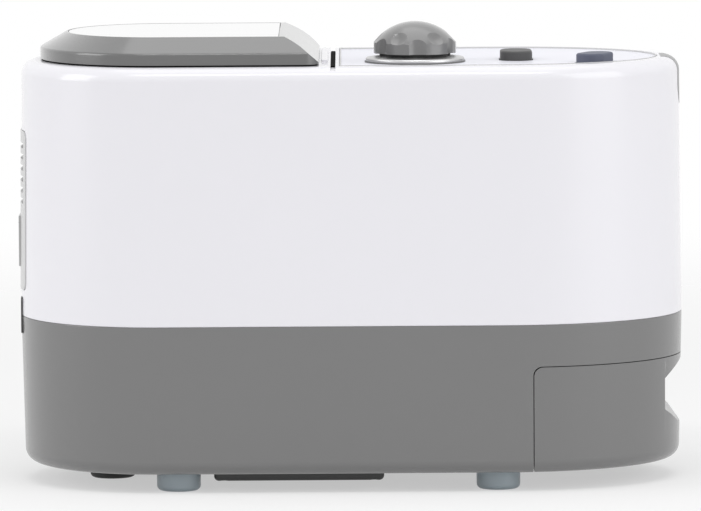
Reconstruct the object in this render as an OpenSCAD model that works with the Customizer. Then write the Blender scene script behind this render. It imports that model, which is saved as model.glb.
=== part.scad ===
// Compression therapy pump: table-top housing with a display, a pressure knob, two push
// buttons, four air outlets in the nose and, inside, a diaphragm compressor and a rotary valve.
// Millimetres. X runs from the rear end to the nose, Y across the body, Z up from the table.

/* [Body] */
// Length of the body
body_l = 275; // [268:1:300]
// Depth of the body
body_w = 130; // [126:1:146]
// Height of the seam between the two shells above the table
seam_z = 69; // [67:0.5:76]
// Height of the flat top above the table
top_z = 175; // [170:1:195]
// Length of the rounded rear end
rear_l = 59; // [54:1:63]
// Length of the rounded nose
nose_l = 74; // [70:1:80]
// Lean of the upper shell between the seam and the top
upper_draft = 1; // [0.6:0.1:2]
// Lean of the lower shell between the seam and the base
lower_draft = 1.3; // [0.8:0.1:2]
// Wall thickness of the shells
wall = 2.5; // [2.2:0.1:3]
// Radius of the shoulder round the top
shoulder_r = 4.5; // [3.5:0.5:5.5]
// Radius round the base
base_r = 5.5; // [4:0.5:6]
// Height of the tongue that stands up inside the seam
tongue_h = 3; // [2:0.5:4]
// Thickness of that tongue
tongue_t = 1.2; // [1:0.1:1.6]

/* [Nose cap] */
// Length of the cap from its rear parting line to the nose
cap_l = 63; // [59.5:0.5:64]
// Height of the cap's top parting line below the seam
cap_drop = 17.5; // [15:0.5:18.5]
// Corner radius of the parting line
cap_corner_r = 3.7; // [2:0.1:5]
// Depth of the hose recess across the nose
recess_depth = 8; // [6.5:0.5:8.5]
// Height of the flat back of the recess
recess_back_h = 13; // [11:0.5:14]
// Height of the recess at its mouth, above the outlets
recess_mouth_up = 13.5; // [11.5:0.5:14]
// Depth of the recess at its mouth, below the outlets
recess_mouth_down = 15; // [13:0.5:16]
// Height of the air outlets above the table
port_z = 36.4; // [34.8:0.2:37]

/* [Air outlets] */
// Number of air outlets
port_count = 4; // [3:1:4]
// Spacing of the air outlets
port_pitch = 12; // [11.5:0.1:12.4]
// Bore of an air outlet
port_bore = 8; // [7:0.1:8.4]
// Depth of an air outlet
port_depth = 11; // [9:0.5:12]

/* [Display] */
// Place of the display housing's toe
toe_x = -12.8; // [-14:0.2:-12]
// Height of the housing's toe
toe_h = 2; // [1.5:0.1:2.5]
// Height of the upright band round the housing
band_h = 5.4; // [4.5:0.1:6]
// Rise of the housing above the top
housing_h = 11.6; // [10.8:0.1:13]
// Gap from the shoulder's outer edge to the housing at the rear end
housing_inset_x = 7.9; // [7:0.1:9]
// Gap from the shoulder's outer edge to the housing at the flanks
housing_inset_y = 6; // [5.6:0.1:7]
// Width of the housing's slope at the rear end
slope_x = 10.8; // [9:0.2:12]
// Width of the housing's slope at the flanks
slope_y = 12; // [10:0.5:13]
// Place of the lens's straight edge
lens_edge_x = -28.5; // [-31:0.5:-27.5]
// Thickness of the lens
lens_t = 1.2; // [1:0.1:1.5]
// Width of the rim round the lens
rim_w = 1.2; // [1:0.1:2]

/* [Controls] */
// Place of the groove across the top
groove_x = -7; // [-8:0.2:-6.5]
// Width of the groove across the top
groove_w = 2; // [1.5:0.1:2.2]
// Left end of the control panel
panel_x = -4.3; // [-4.5:0.1:-3]
// Inset of the control panel from the top's edge
panel_inset = 9; // [8:0.5:10]
// Thickness of the control panel
panel_t = 0.6; // [0.5:0.1:1]
// Place of the knob along the body
knob_x = 26.8; // [25:0.2:30]
// Place of the knob across the body
knob_y = -25; // [-28:1:-15]
// Diameter of the knob
knob_d = 34; // [32:0.5:36]
// Diameter of the collar under the knob
collar_d = 42; // [40:0.5:44]
// Height of the collar
collar_h = 1.6; // [1.2:0.1:2]
// Height of the knob's upright side
knob_side_h = 4.4; // [4:0.1:5]
// Height of the knob's dome
knob_dome_h = 8.6; // [7.5:0.1:9.5]
// Number of grips round the knob
grip_count = 6; // [5:1:8]
// Diameter of the potentiometer's shaft
shaft_d = 6; // [5.6:0.1:6.4]
// How far the buttons stand above the panel
button_proud = 3.4; // [3:0.1:4]
// Travel of the buttons
button_travel = 1.2; // [1:0.1:1.4]

/* [Rear end] */
// Width of the rear panel
rear_panel_w = 38; // [34:1:40]
// Height of the rear panel
rear_panel_h = 66; // [64:1:70]
// Number of air slots in the rear panel
slot_count = 6; // [4:1:6]
// Height of the power switch above the seam
switch_up = 30.7; // [29:0.5:33]

/* [Feet] */
// Height of the feet
foot_h = 7.8; // [7.5:0.1:9.5]
// Diameter of the feet
foot_d = 18; // [17:0.5:20]
// Place of the rear pair of feet
foot_rear_x = -71.5; // [-73:0.5:-69]
// Gap from the cap's parting line to the middle of the front feet
foot_gap = 14.5; // [13.5:0.5:18.5]
// Inset of the feet from the flanks
foot_inset = 19; // [18:0.5:21]
// Place of the single foot under the transformer
rear_foot_x = -100; // [-104:1:-98]

/* [Compressor] */
// Place of the compressor and its pan
comp_x = -22; // [-24:0.5:-20]
// Height of the compressor's axis above the table
comp_z = 46; // [44:0.5:50]
// Length of the pan
pan_l = 70; // [70:1:74]
// Width of the pan
pan_w = 100; // [98:1:104]
// How far the pan hangs below the base
pan_h = 4; // [3.8:0.1:4.5]
// Stroke of the armature to each side
stroke = 1.5; // [1:0.1:2]

/* [Hidden] */

$fn = 48;
end_steps = 30;          // facets along each rounded end of the body
cut = 1;                 // how far a cutting shape runs past the face it cuts
fit = 0.15;              // clearance round a piece that is set in a pocket
run = 0.05;              // radial clearance of a running fit
clear = 0.3;             // gap between a moving piece and what it passes
parting = 0.35;          // gap along the nose cap's parting line
edge_break = 0.4;        // chamfer along both edges of the seam

nose_cx = body_l/2 - nose_l;      // where the nose starts to curve
rear_cx = rear_l - body_l/2;      // where the rear end starts to curve
nose_x = body_l/2;
rear_x = -body_l/2;
ceiling_z = top_z - wall;
floor_z = foot_h + wall;
cap_top = seam_z - cap_drop;
cap_x = nose_x - cap_l;
foot_front_x = cap_x - foot_gap;
tongue_out = wall + 0.2;          // inset of the tongue's outer face
tongue_in = tongue_out + tongue_t;

// ---------- outlines and lofts ----------

// Half ellipse about [x, 0], a long along X and b across, from one angle to another
function arc(x, a, b, from, to, steps) =
    [for (i = [0:steps]) let (t = from + (to - from)*i/steps) [x + a*cos(t), b*sin(t)]];

// Outline of the body, drawn in by an inset on every side
function outline(inset) = concat(
    arc(nose_cx, nose_l - inset, body_w/2 - inset, -90, 90, end_steps),
    arc(rear_cx, rear_l - inset, body_w/2 - inset, 90, 270, end_steps));

// Closed solid through a stack of outlines that have equally many points
module stack(outlines, heights) {
    n = len(outlines[0]);
    last = (len(heights) - 1)*n;
    points = [for (k = [0:len(heights) - 1]) for (p = outlines[k]) [p[0], p[1], heights[k]]];
    sides = [for (k = [0:len(heights) - 2]) for (i = [0:n - 1]) let (j = (i + 1)%n) each
        [[k*n + i, (k + 1)*n + i, (k + 1)*n + j], [k*n + i, (k + 1)*n + j, k*n + j]]];
    ends = [[for (i = [0:n - 1]) i], [for (i = [n - 1:-1:0]) last + i]];
    polyhedron(points, concat(sides, ends), convexity = 8);
}

// The same through body outlines, each level given as [inset, height]
module loft(levels) {
    stack([for (l = levels) outline(l[0])], [for (l = levels) l[1]]);
}

// Levels of the upper body, drawn in by an inset, up to its top face
function shoulder(inset) = [for (a = [0:22.5:90])
    [upper_draft + shoulder_r - (shoulder_r - inset)*cos(a),
     top_z - shoulder_r + (shoulder_r - inset)*sin(a)]];
module upper_form(inset) {
    loft(concat([[inset, seam_z]], shoulder(inset)));
}

// Lean of the upper body at a height above the seam
function upper_lean(z) = upper_draft*(z - seam_z)/(top_z - shoulder_r - seam_z);
// Lean of the lower body at a height below the seam
function lower_lean(z) = lower_draft*(seam_z - z)/(seam_z - foot_h);

// Levels of the lower body from its base up to the seam
function base_levels() = concat(
    [for (a = [0:22.5:67.5]) [lower_draft + base_r*(1 - sin(a)), foot_h + base_r*(1 - cos(a))]],
    [[lower_lean(foot_h + base_r), foot_h + base_r]]);

// Lower body with its floor, walls and tongue, before anything is cut
module lower_cup() {
    tongue_root = 6;
    loft(concat(base_levels(), [
        [lower_lean(seam_z - edge_break), seam_z - edge_break],
        [edge_break, seam_z],
        [tongue_out, seam_z],
        [tongue_out, seam_z + tongue_h],
        [tongue_in, seam_z + tongue_h],
        [tongue_in, seam_z - tongue_root],
        [wall + lower_lean(seam_z - 2*tongue_root), seam_z - 2*tongue_root],
        [wall + lower_draft, floor_z + base_r - wall],
        [wall + lower_draft + base_r - wall, floor_z]]));
}

// Profile drawn in X and Z, drawn out across the body
module across(length) {
    rotate([90, 0, 0]) linear_extrude(length, center = true) children();
}

// Rectangle from one corner to the other with round corners
module round_rect(size, r) {
    translate([r, 0]) square([size[0] - 2*r, size[1]]);
    translate([0, r]) square([size[0], size[1] - 2*r]);
    for (x = [r, size[0] - r], y = [r, size[1] - r]) translate([x, y]) circle(r);
}

// Box given by its centre in X and Y and its lowest height
module block(size, at) {
    translate([at[0] - size[0]/2, at[1] - size[1]/2, at[2]]) cube(size);
}

module peg(r, h, at) {
    translate(at) cylinder(r = r, h = h);
}

// Pill-shaped prism, w wide and l long across the body
module pill(w, l, h) {
    block([w, l - w, h], [0, 0, 0]);
    for (s = [-1, 1]) peg(w/2, h, [0, s*(l - w)/2, 0]);
}

// Screw with its head below the given point and its shank above it
module screw(head_r, head_h, shank_r, shank_l, at) {
    peg(head_r, head_h, [at[0], at[1], at[2] - head_h]);
    peg(shank_r, shank_l, at);
}

// ---------- screws ----------

shank_r = 1.45;
pilot_r = shank_r + run;
pass_r = shank_r + clear;
head_r = 2.8;
head_h = 1.6;
head_room_r = head_r + clear;
base_shank_l = 11;
boss_r = 4;
boss_h = 10;
case_screw_rear = 40;
case_screw_front = 42;
case_screw_x = [-case_screw_rear, case_screw_front];
case_screw_y = body_w/2 - 8.5;
case_shank_l = 26;
case_seat = 12;          // solid length of the tube between the head and the seam
case_boss_l = 26;        // length of the upper shell's screw bosses
board_shank_l = 6;

foot_y = body_w/2 - foot_inset;
foot_spots = [for (x = [foot_rear_x, foot_front_x]) for (s = [-1, 1]) [x, s*foot_y]];
foot_seat = 3.6;         // height of the screw's seat inside a foot
pan_spots = [for (sx = [-1, 1]) for (sy = [-1, 1])
    [comp_x + sx*(pan_l/2 - boss_r - fit), sy*(pan_w/2 - boss_r - fit)]];
pan_z = foot_h - pan_h;
pan_t = 1.5;
pan_seat = head_h + 0.3; // height of the screw's seat above the pan's underside
tab_spots = [for (s = [-1, 1]) [cap_x - 7, s*(foot_y - foot_d/2 - 8)]];
tab_t = 4;
tab_seat = head_h;       // depth of the head's pocket in the floor below a tab
tab_boss_h = foot_h + tab_seat + base_shank_l - floor_z + 0.6;
rear_boss_h = foot_seat + base_shank_l - floor_z + 0.6;

// ---------- shells ----------

board_z = top_z - 15;    // upper face of the control board
board_t = 1.6;
control_l = nose_x - 25.5;
control_w = 76;
board_edge = 6;          // how far the control board's screws stand from its rear end
board_spots = [for (x = [board_edge, control_l - 28]) for (s = [-1, 1]) [x, s*(control_w/2 - 4)]];
board_boss_r = 3.2;
rocker_hole_w = 13.4;
rocker_hole_h = 19.4;
switch_z = seam_z + switch_up;
switch_room = 0.1;
rear_panel_z = seam_z + 11;
panel_seat = 1.2;        // depth of the rear panel's pocket
panel_proud = 0.4;
slot_w = 30;
slot_h = 2.2;
slot_pitch = 4.6;
slot_z = rear_panel_z + rear_panel_h - 5;
inlet_w = 23;
inlet_h = 15;
inlet_t = 2;
inlet_body_w = 19;
inlet_body_h = 11.6;
inlet_seat_x = rear_x + inlet_t + 0.2;
inlet_pad_t = 3.5;
collar_barrel_r = 12;
start_x = nose_cx + 5.2;
start_y = -14;
start_at = [start_x, start_y];
start_size = [13.2, 22];
mode_x = nose_cx + 37.1;
mode_edge = 31.5;        // from the flank to the middle of the mode button
mode_at = [mode_x, mode_edge - body_w/2];
mode_size = [12, 20];
mode_turn = -25;
button_gap = 0.4;
lens_a = rear_l - upper_draft - housing_inset_x - slope_x;
lens_b = body_w/2 - upper_draft - housing_inset_y - slope_y;
module_rear = rear_cx - lens_a + 12.8;
module_front = lens_edge_x - 6;
module_l = module_front - module_rear;
module_x = (module_front + module_rear)/2;
window_l = module_l - 18;
window_d = 52;
locator_r = 2.4;
locator_y = lens_b - 3;
locator_spots = [for (x = [rear_cx - 19.5, lens_edge_x - 9]) for (s = [-1, 1]) [x, s*locator_y]];

module at_start() {
    translate([start_at[0], start_at[1], 0]) children();
}

module at_mode() {
    translate([mode_at[0], mode_at[1], 0]) rotate(mode_turn) children();
}

// Area of the control panel, grown by a clearance
module panel_area(grow) {
    inset = upper_draft + panel_inset - grow;
    half = body_w/2 - inset;
    polygon(concat([[panel_x - grow, half], [panel_x - grow, -half]],
        arc(nose_cx, nose_l - inset, half, -90, 90, end_steps)));
}

// Area of the rear panel, standing across the rear end, grown by a clearance
module rear_area(grow) {
    size = [rear_panel_w + 2*grow, rear_panel_h + 2*grow];
    translate([rear_x - 2, 0, rear_panel_z - grow]) rotate([90, 0, 90])
        linear_extrude(30) translate([-size[0]/2, 0]) round_rect(size, 4);
}

module air_slots(grow) {
    for (k = [0:slot_count - 1]) block([30, slot_w + 2*grow, slot_h + 2*grow],
        [rear_x, 0, slot_z - slot_h - grow - k*slot_pitch]);
}

module inlet_cuts() {
    block([inlet_t + 2, inlet_w + 2*fit, inlet_h + 2*fit],
        [inlet_seat_x - inlet_t/2 - 1, 0, seam_z - inlet_h/2 - fit]);
    block([20, inlet_body_w + 2*fit, inlet_body_h + 2*fit],
        [inlet_seat_x, 0, seam_z - inlet_body_h/2 - fit]);
}

// Pad behind the inlet, from one height to another
module inlet_pad(from, to) {
    translate([inlet_seat_x, -inlet_w/2 - 2, from]) cube([inlet_pad_t, inlet_w + 4, to - from]);
}

module upper_shell() {
    ledge_w = 2.7;
    ledge_l = 68;
    ledge_h = 1.2;
    // the ribs end inside the wall, whichever way it leans
    rib_end = body_w/2 - (upper_lean(seam_z + case_boss_l) + wall)/2;
    color([0.92, 0.92, 0.94]) difference() {
        union() {
            loft(concat([
                [upper_draft + shoulder_r, ceiling_z],
                [upper_draft + wall, top_z - shoulder_r],
                [wall, seam_z],
                [edge_break, seam_z],
                [upper_lean(seam_z + edge_break), seam_z + edge_break]], shoulder(0)));
            for (x = case_screw_x, s = [-1, 1]) {
                peg(boss_r, case_boss_l, [x, s*case_screw_y, seam_z]);
                block([2.4, rib_end - case_screw_y, case_boss_l - tongue_h - 1],
                    [x, s*(rib_end + case_screw_y)/2, seam_z + tongue_h + 1]);
            }
            for (p = board_spots) peg(board_boss_r, ceiling_z - board_z + cut, [p[0], p[1], board_z]);
            block([ledge_w, ledge_l, ledge_h + cut],
                [(toe_x + groove_x - groove_w/2)/2, 0, top_z - cut]);
            inlet_pad(seam_z + edge_break, seam_z + inlet_h/2 + 4);
        }
        translate([0, 0, top_z - panel_t]) linear_extrude(panel_t + cut) panel_area(fit);
        block([groove_w, body_w + 2, 3], [groove_x, 0, top_z - 1.6]);
        block([window_l, window_d, wall + 4], [module_x, 0, ceiling_z - 1]);
        for (p = locator_spots) peg(locator_r + fit, wall + 2*cut, [p[0], p[1], ceiling_z - cut]);
        peg(collar_barrel_r + fit, wall + 4, [knob_x, knob_y, ceiling_z - 1]);
        at_start() translate([0, 0, ceiling_z - cut])
            pill(start_size[0] + 2*button_gap, start_size[1] + 2*button_gap, wall + 2*cut);
        at_mode() translate([0, 0, ceiling_z - cut])
            pill(mode_size[0] + 2*button_gap, mode_size[1] + 2*button_gap, wall + 2*cut);
        for (x = case_screw_x, s = [-1, 1])
            peg(pilot_r, case_boss_l - 6, [x, s*case_screw_y, seam_z - cut]);
        for (p = board_spots) peg(pilot_r, 9, [p[0], p[1], board_z - cut]);
        intersection() {
            difference() {
                upper_form(-2);
                upper_form(panel_seat);
            }
            rear_area(fit);
        }
        air_slots(0.3);
        block([20, rocker_hole_w, rocker_hole_h], [rear_x, 0, switch_z - rocker_hole_h/2]);
        inlet_cuts();
    }
}

// Region of the nose cap, grown by the parting gap
module cap_zone(grow) {
    left = cap_x - grow;
    top = cap_top + grow;
    across(body_w + 20) {
        translate([left, 0]) square([nose_l + 30, top - cap_corner_r]);
        translate([left + cap_corner_r, 0]) square([nose_l + 30, top]);
        translate([left + cap_corner_r, top - cap_corner_r]) circle(cap_corner_r);
    }
}

// Rim inside the cap that hooks behind the lower shell's wall
module cap_hook() {
    low = cap_top - 5;
    high = cap_top + 3;
    rim_t = 1.5;
    intersection() {
        difference() {
            loft([[wall - 0.6 + lower_lean(low), low],
                  [wall + clear + lower_lean(cap_top - 2), cap_top - 2],
                  [wall + clear + lower_lean(high), high]]);
            loft([[wall + clear + rim_t + lower_lean(low), low - cut],
                  [wall + clear + rim_t + lower_lean(high), high + cut]]);
        }
        translate([cap_x + 8, -body_w/2, 0]) cube([nose_l + 10, body_w, seam_z]);
    }
}

board_x = -66;           // middle of the upright main board
main_board_w = 94;
main_board_h = 92;
guide_w = 6;
guide_h = 44;
transformer_x = -98;
transformer_foot_y = 29;
transformer_up = 5;      // height of the transformer's seats above the floor

module lower_shell() {
    tube_h = seam_z - foot_h;
    // the ribs and guides end inside the wall, whichever way it leans
    rib_end = body_w/2 - (lower_draft + wall)/2;
    guide_start = main_board_w/2 - 2;
    rib_z = foot_h + base_r;
    color([0.56, 0.56, 0.57]) difference() {
        union() {
            difference() {
                lower_cup();
                cap_zone(parting);
                block([pan_l - 18, pan_w - 18, wall + 2*cut], [comp_x, 0, foot_h - cut]);
            }
            for (x = case_screw_x, s = [-1, 1]) {
                peg(boss_r + 0.4, tube_h - cut, [x, s*case_screw_y, foot_h + cut]);
                block([2.4, rib_end - case_screw_y, seam_z - tongue_h - rib_z],
                    [x, s*(rib_end + case_screw_y)/2, rib_z]);
            }
            for (p = concat(foot_spots, pan_spots))
                peg(boss_r, boss_h + wall, [p[0], p[1], foot_h]);
            peg(boss_r, rear_boss_h + wall, [rear_foot_x, 0, foot_h]);
            for (s = [-1, 1]) block([guide_w, rib_end - guide_start, guide_h],
                [board_x, s*(rib_end + guide_start)/2, rib_z]);
            for (s = [-1, 1]) block([14, 7, transformer_up + cut],
                [transformer_x, s*transformer_foot_y, floor_z - cut]);
            inlet_pad(seam_z - inlet_h/2 - 4, seam_z - edge_break);
        }
        for (x = case_screw_x, s = [-1, 1]) {
            peg(head_room_r, tube_h - case_seat + cut, [x, s*case_screw_y, foot_h - cut]);
            peg(pass_r, tube_h + cut, [x, s*case_screw_y, foot_h]);
        }
        for (p = concat(foot_spots, pan_spots))
            peg(pilot_r, boss_h + cut, [p[0], p[1], foot_h - cut]);
        peg(pilot_r, wall + rear_boss_h + 2*cut, [rear_foot_x, 0, foot_h - cut]);
        for (p = tab_spots) {
            peg(pass_r, wall + 2*cut, [p[0], p[1], foot_h - cut]);
            peg(head_room_r, tab_seat + cut, [p[0], p[1], foot_h - cut]);
        }
        for (s = [-1, 1])
            peg(pilot_r, transformer_up + cut, [transformer_x, s*transformer_foot_y, floor_z]);
        block([board_t + 2*fit, main_board_w + 2*fit, guide_h + base_r], [board_x, 0, floor_z]);
        inlet_cuts();
        // room in the tongue for the upper shell's pad
        block([10, inlet_w + 6, tongue_h + cut], [rear_x + wall + 2, 0, seam_z]);
    }
}

// Profile of the hose recess in X and Z, grown on its inner side
module recess_profile(grow) {
    back_x = nose_x - recess_depth - grow;
    half = recess_back_h/2 + grow;
    polygon([[back_x, port_z - half], [back_x, port_z + half],
        [nose_x, port_z + recess_mouth_up + grow], [nose_x + 9, port_z + recess_mouth_up + grow],
        [nose_x + 9, port_z - recess_mouth_down - grow],
        [nose_x, port_z - recess_mouth_down - grow],
        [nose_x - 0.3*recess_depth, port_z - 0.85*recess_mouth_down - grow],
        [nose_x - 0.62*recess_depth, port_z - 0.62*recess_mouth_down - grow]]);
}

port_wall_x = nose_x - recess_depth;
block_x = port_wall_x - wall;                 // face that the port block seats on
socket_r = port_bore/2 + 1.3;
ports = [for (i = [0:port_count - 1]) (i - (port_count - 1)/2)*port_pitch];
valve_x = nose_x - 47.5;
valve_l = 28;
valve_w = 52;
valve_screw_dx = 10;
valve_screw_y = 23;
valve_spots = [for (x = [-1, 1]) for (s = [-1, 1]) [valve_x + x*valve_screw_dx, s*valve_screw_y]];
valve_z = port_z - 9;
valve_t = 16;
valve_top = valve_z + valve_t;
cover_t = 2.5;
// depth of the valve's long screws in the cap's posts
valve_screw_depth = case_shank_l - valve_t - cover_t;

module front_end_cap() {
    color([0.58, 0.58, 0.59]) difference() {
        union() {
            intersection() {
                lower_cup();
                cap_zone(0);
            }
            intersection() {
                loft([[lower_draft + 1, foot_h + 1], [0.02, seam_z]]);
                difference() {
                    across(body_w) recess_profile(wall);
                    across(body_w) recess_profile(0);
                }
                cap_zone(0);
            }
            cap_hook();
            for (p = tab_spots) {
                block([cap_x - p[0] + 12, 10, tab_t], [(cap_x + p[0] + 4)/2, p[1], floor_z]);
                block([6, 10, wall], [cap_x + 4, p[1], floor_z - cut]);
                peg(boss_r, tab_boss_h, [p[0], p[1], floor_z]);
            }
            for (p = valve_spots) peg(boss_r, valve_z - floor_z + cut, [p[0], p[1], floor_z - cut]);
        }
        across(body_w) recess_profile(0);
        for (y = ports) translate([block_x - cut, y, port_z]) rotate([0, 90, 0])
            cylinder(r = socket_r + fit, h = wall + 2*cut);
        for (p = tab_spots) peg(pilot_r, tab_boss_h + 2*cut, [p[0], p[1], floor_z - cut]);
        for (p = valve_spots)
            peg(pilot_r, valve_screw_depth + 0.5 + cut, [p[0], p[1], valve_z - valve_screw_depth - 0.5]);
    }
}

// ---------- display ----------

housing_z = top_z + housing_h;
toe_corner_r = 7;
// Outline of the display housing with its slope drawn in by a share of its width
function housing_outline(share) = let (
    a = lens_a + (1 - share)*slope_x,
    b = lens_b + (1 - share)*slope_y,
    r = toe_corner_r - 3*share)
    concat(arc(rear_cx, a, b, 90, 270, end_steps),
        [for (t = [-90:22.5:0]) [toe_x - r + r*cos(t), -b + r + r*sin(t)]],
        [for (t = [0:22.5:90]) [toe_x - r + r*cos(t), b - r + r*sin(t)]]);

// Flat area with the lens's shape, drawn in by an inset
module lens_area(inset) {
    polygon(concat(arc(rear_cx, lens_a - inset, lens_b - inset, 90, 270, end_steps),
        [[lens_edge_x - inset, inset - lens_b], [lens_edge_x - inset, lens_b - inset]]));
}

ledge_t = 1.8;           // solid left between the lens and the display module
lens_seat_z = housing_z - lens_t;
module_t = 5;
module_top = lens_seat_z - ledge_t;
module_w = 2*(lens_b - 11);
carrier_l = 40;
carrier_w = 30;

module display_housing() {
    color([0.55, 0.55, 0.56]) difference() {
        union() {
            intersection() {
                stack([housing_outline(0), housing_outline(0), housing_outline(0.1),
                       housing_outline(1)],
                    [top_z, top_z + band_h - 0.3, top_z + band_h + 0.3, housing_z]);
                across(body_w) polygon([[rear_x, top_z - 5], [toe_x + 5, top_z - 5],
                    [toe_x + 5, top_z + toe_h], [toe_x, top_z + toe_h],
                    [lens_edge_x + rim_w, housing_z], [lens_edge_x, housing_z + 5],
                    [rear_x, housing_z + 5]]);
            }
            for (p = locator_spots) peg(locator_r, 7, [p[0], p[1], top_z - 5]);
        }
        translate([0, 0, lens_seat_z]) linear_extrude(lens_t + cut) lens_area(rim_w - fit);
        block([module_l - 8, module_w - 8, housing_h], [module_x, 0, top_z + cut]);
        block([module_l + 1, module_w + 1, module_top - top_z + cut], [module_x, 0, top_z - cut]);
    }
}

module display_lens() {
    color([0.95, 0.96, 0.97, 0.9]) translate([0, 0, lens_seat_z])
        linear_extrude(lens_t) lens_area(rim_w);
}

module display_module() {
    color([0.16, 0.2, 0.18]) {
        block([module_l, module_w, module_t], [module_x, 0, module_top - module_t]);
        block([carrier_l, carrier_w, 1.2], [module_x, 0, module_top - module_t - 1.2]);
    }
}

// ---------- controls ----------

module control_panel() {
    color([0.9, 0.9, 0.95]) difference() {
        translate([0, 0, top_z - panel_t]) linear_extrude(panel_t) panel_area(0);
        peg(collar_barrel_r + fit, 4, [knob_x, knob_y, top_z - 2]);
        at_start() translate([0, 0, top_z - 2])
            pill(start_size[0] + 2*button_gap, start_size[1] + 2*button_gap, 4);
        at_mode() translate([0, 0, top_z - 2])
            pill(mode_size[0] + 2*button_gap, mode_size[1] + 2*button_gap, 4);
    }
}

module nose_strip() {
    strip_w = 20;
    strip_t = 0.45;
    strip_h = 20;
    tip_x = nose_x - upper_draft - panel_inset + 1.2;
    color([0.7, 0.7, 0.72]) intersection() {
        difference() {
            upper_form(-strip_t);
            upper_form(0);
        }
        translate([tip_x, 0, top_z]) rotate([90, 0, 90]) linear_extrude(40)
            translate([0, strip_w/2 - strip_h]) {
                circle(strip_w/2);
                translate([-strip_w/2, 0]) square([strip_w, strip_h]);
            }
    }
}

collar_top = top_z + collar_h;
knob_z = collar_top + 1.7;                // underside of the knob's skirt
knob_r = knob_d/2;
dome_r = (knob_r*knob_r + knob_dome_h*knob_dome_h)/(2*knob_dome_h);
shaft_top = knob_z + knob_side_h + 4;
grip_turn = -86.5;       // where the grip that faces the user stands

module knob_collar() {
    color([0.8, 0.81, 0.82]) translate([knob_x, knob_y, 0]) rotate_extrude() difference() {
        union() {
            translate([0, ceiling_z - 2]) square([collar_barrel_r, wall + 2.5]);
            translate([0, top_z]) polygon([[0, 0], [collar_d/2, 0], [collar_d/2, 0.6],
                [collar_d/2 - 1, collar_h], [0, collar_h]]);
        }
        translate([0, ceiling_z - 3]) square([shaft_d/2 + run + 0.2, wall + 8]);
    }
}

module pressure_knob() {
    grip_r = 6.2;
    grip_depth = 1.6;
    scoop_r = 7;
    scoop_depth = 0.8;
    scoop_at = 14.6;
    hub_r = knob_r - grip_depth - 0.8;
    sleeve_r = shaft_d/2 + 2;
    hub_t = 2;
    ball_z = knob_z + knob_side_h + knob_dome_h - dome_r;
    color([0.6, 0.6, 0.61]) translate([knob_x, knob_y, 0]) difference() {
        rotate_extrude($fn = 96) difference() {
            union() {
                translate([0, knob_z]) square([knob_r, knob_side_h]);
                intersection() {
                    translate([0, ball_z]) circle(dome_r);
                    translate([0, knob_z + knob_side_h - 0.01]) square([knob_r, knob_dome_h + 1]);
                }
                translate([0, collar_top + clear]) square([hub_r, 4]);
            }
            translate([sleeve_r, collar_top]) square([hub_r - hub_t - sleeve_r, knob_side_h + 2]);
            translate([-knob_d, 0]) square([knob_d, 2*top_z]);
        }
        for (k = [0:grip_count - 1]) rotate(grip_turn + k*360/grip_count)
            translate([knob_r - grip_depth + grip_r, 0, knob_z - 1])
                cylinder(r = grip_r, h = knob_side_h + knob_dome_h + 2);
        // shallow scoops in the dome between the grips
        for (k = [0:grip_count - 1]) rotate(grip_turn + (k + 0.5)*360/grip_count)
            translate([0, 0, ball_z]) rotate([0, asin(scoop_at/dome_r), 0])
                translate([0, 0, dome_r + scoop_r - scoop_depth]) sphere(r = scoop_r);
        translate([0, 0, collar_top]) cylinder(r = shaft_d/2 + run, h = shaft_top + 0.2 - collar_top);
    }
}

pot_w = 16;
pot_h = 8;
pot_seat = 4;            // height of the shaft's end above the control board
pot_neck_r = 4.5;
pot_neck_h = 2;

module potentiometer_shaft() {
    color([0.75, 0.75, 0.76])
        peg(shaft_d/2, shaft_top - board_z - pot_seat, [knob_x, knob_y, board_z + pot_seat]);
}

module potentiometer_body() {
    color([0.25, 0.4, 0.3]) difference() {
        union() {
            block([pot_w, pot_w, pot_h], [knob_x, knob_y, board_z]);
            peg(pot_neck_r, pot_neck_h, [knob_x, knob_y, board_z + pot_h - 0.5]);
        }
        peg(shaft_d/2 + run, pot_h, [knob_x, knob_y, board_z + pot_seat - 0.2]);
    }
}

flange_t = 1.6;
flange_z = ceiling_z - clear - flange_t;
stem_r = 1.5;
switch_h = 4;
tact_w = 6.2;
stem_z = board_z + switch_h - 1.4;

// Button cap with its retaining flange and stem
module button(size) {
    translate([0, 0, flange_z]) {
        pill(size[0], size[1], top_z + button_proud - 1 - flange_z);
        pill(size[0] + 3, size[1] + 3, flange_t);
    }
    translate([0, 0, flange_z]) pill(size[0] - 1.2, size[1] - 1.2, top_z + button_proud - flange_z);
    peg(stem_r, flange_z - stem_z + cut, [0, 0, stem_z]);
}

module start_button() {
    color([0.36, 0.36, 0.37]) at_start() button(start_size);
}

module mode_button() {
    color([0.38, 0.4, 0.46]) at_mode() button(mode_size);
}

module tact_switches() {
    well = switch_h - (stem_z - board_z) + button_travel + 0.2;
    color([0.15, 0.15, 0.16]) for (p = [start_at, mode_at]) difference() {
        block([tact_w, tact_w, switch_h], [p[0], p[1], board_z]);
        peg(stem_r + 0.1, well + cut, [p[0], p[1], board_z + switch_h - well]);
    }
}

module control_board() {
    color([0.1, 0.4, 0.25]) difference() {
        block([control_l, control_w, board_t], [control_l/2, 0, board_z - board_t]);
        for (p = board_spots) peg(pass_r, board_t + 2*cut, [p[0], p[1], board_z - board_t - cut]);
    }
}

// ---------- rear end ----------

switch_face_x = rear_x + upper_lean(switch_z);
switch_flange_x = switch_face_x - panel_proud + 0.5;
pivot_x = switch_flange_x + 4.2;
rocker_w = 10;
rocker_h = 17;
rocker_tilt = 6;
pivot_r = 1.2;
frame_w = 15;
frame_h = 21;
frame_l = 14;

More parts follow.
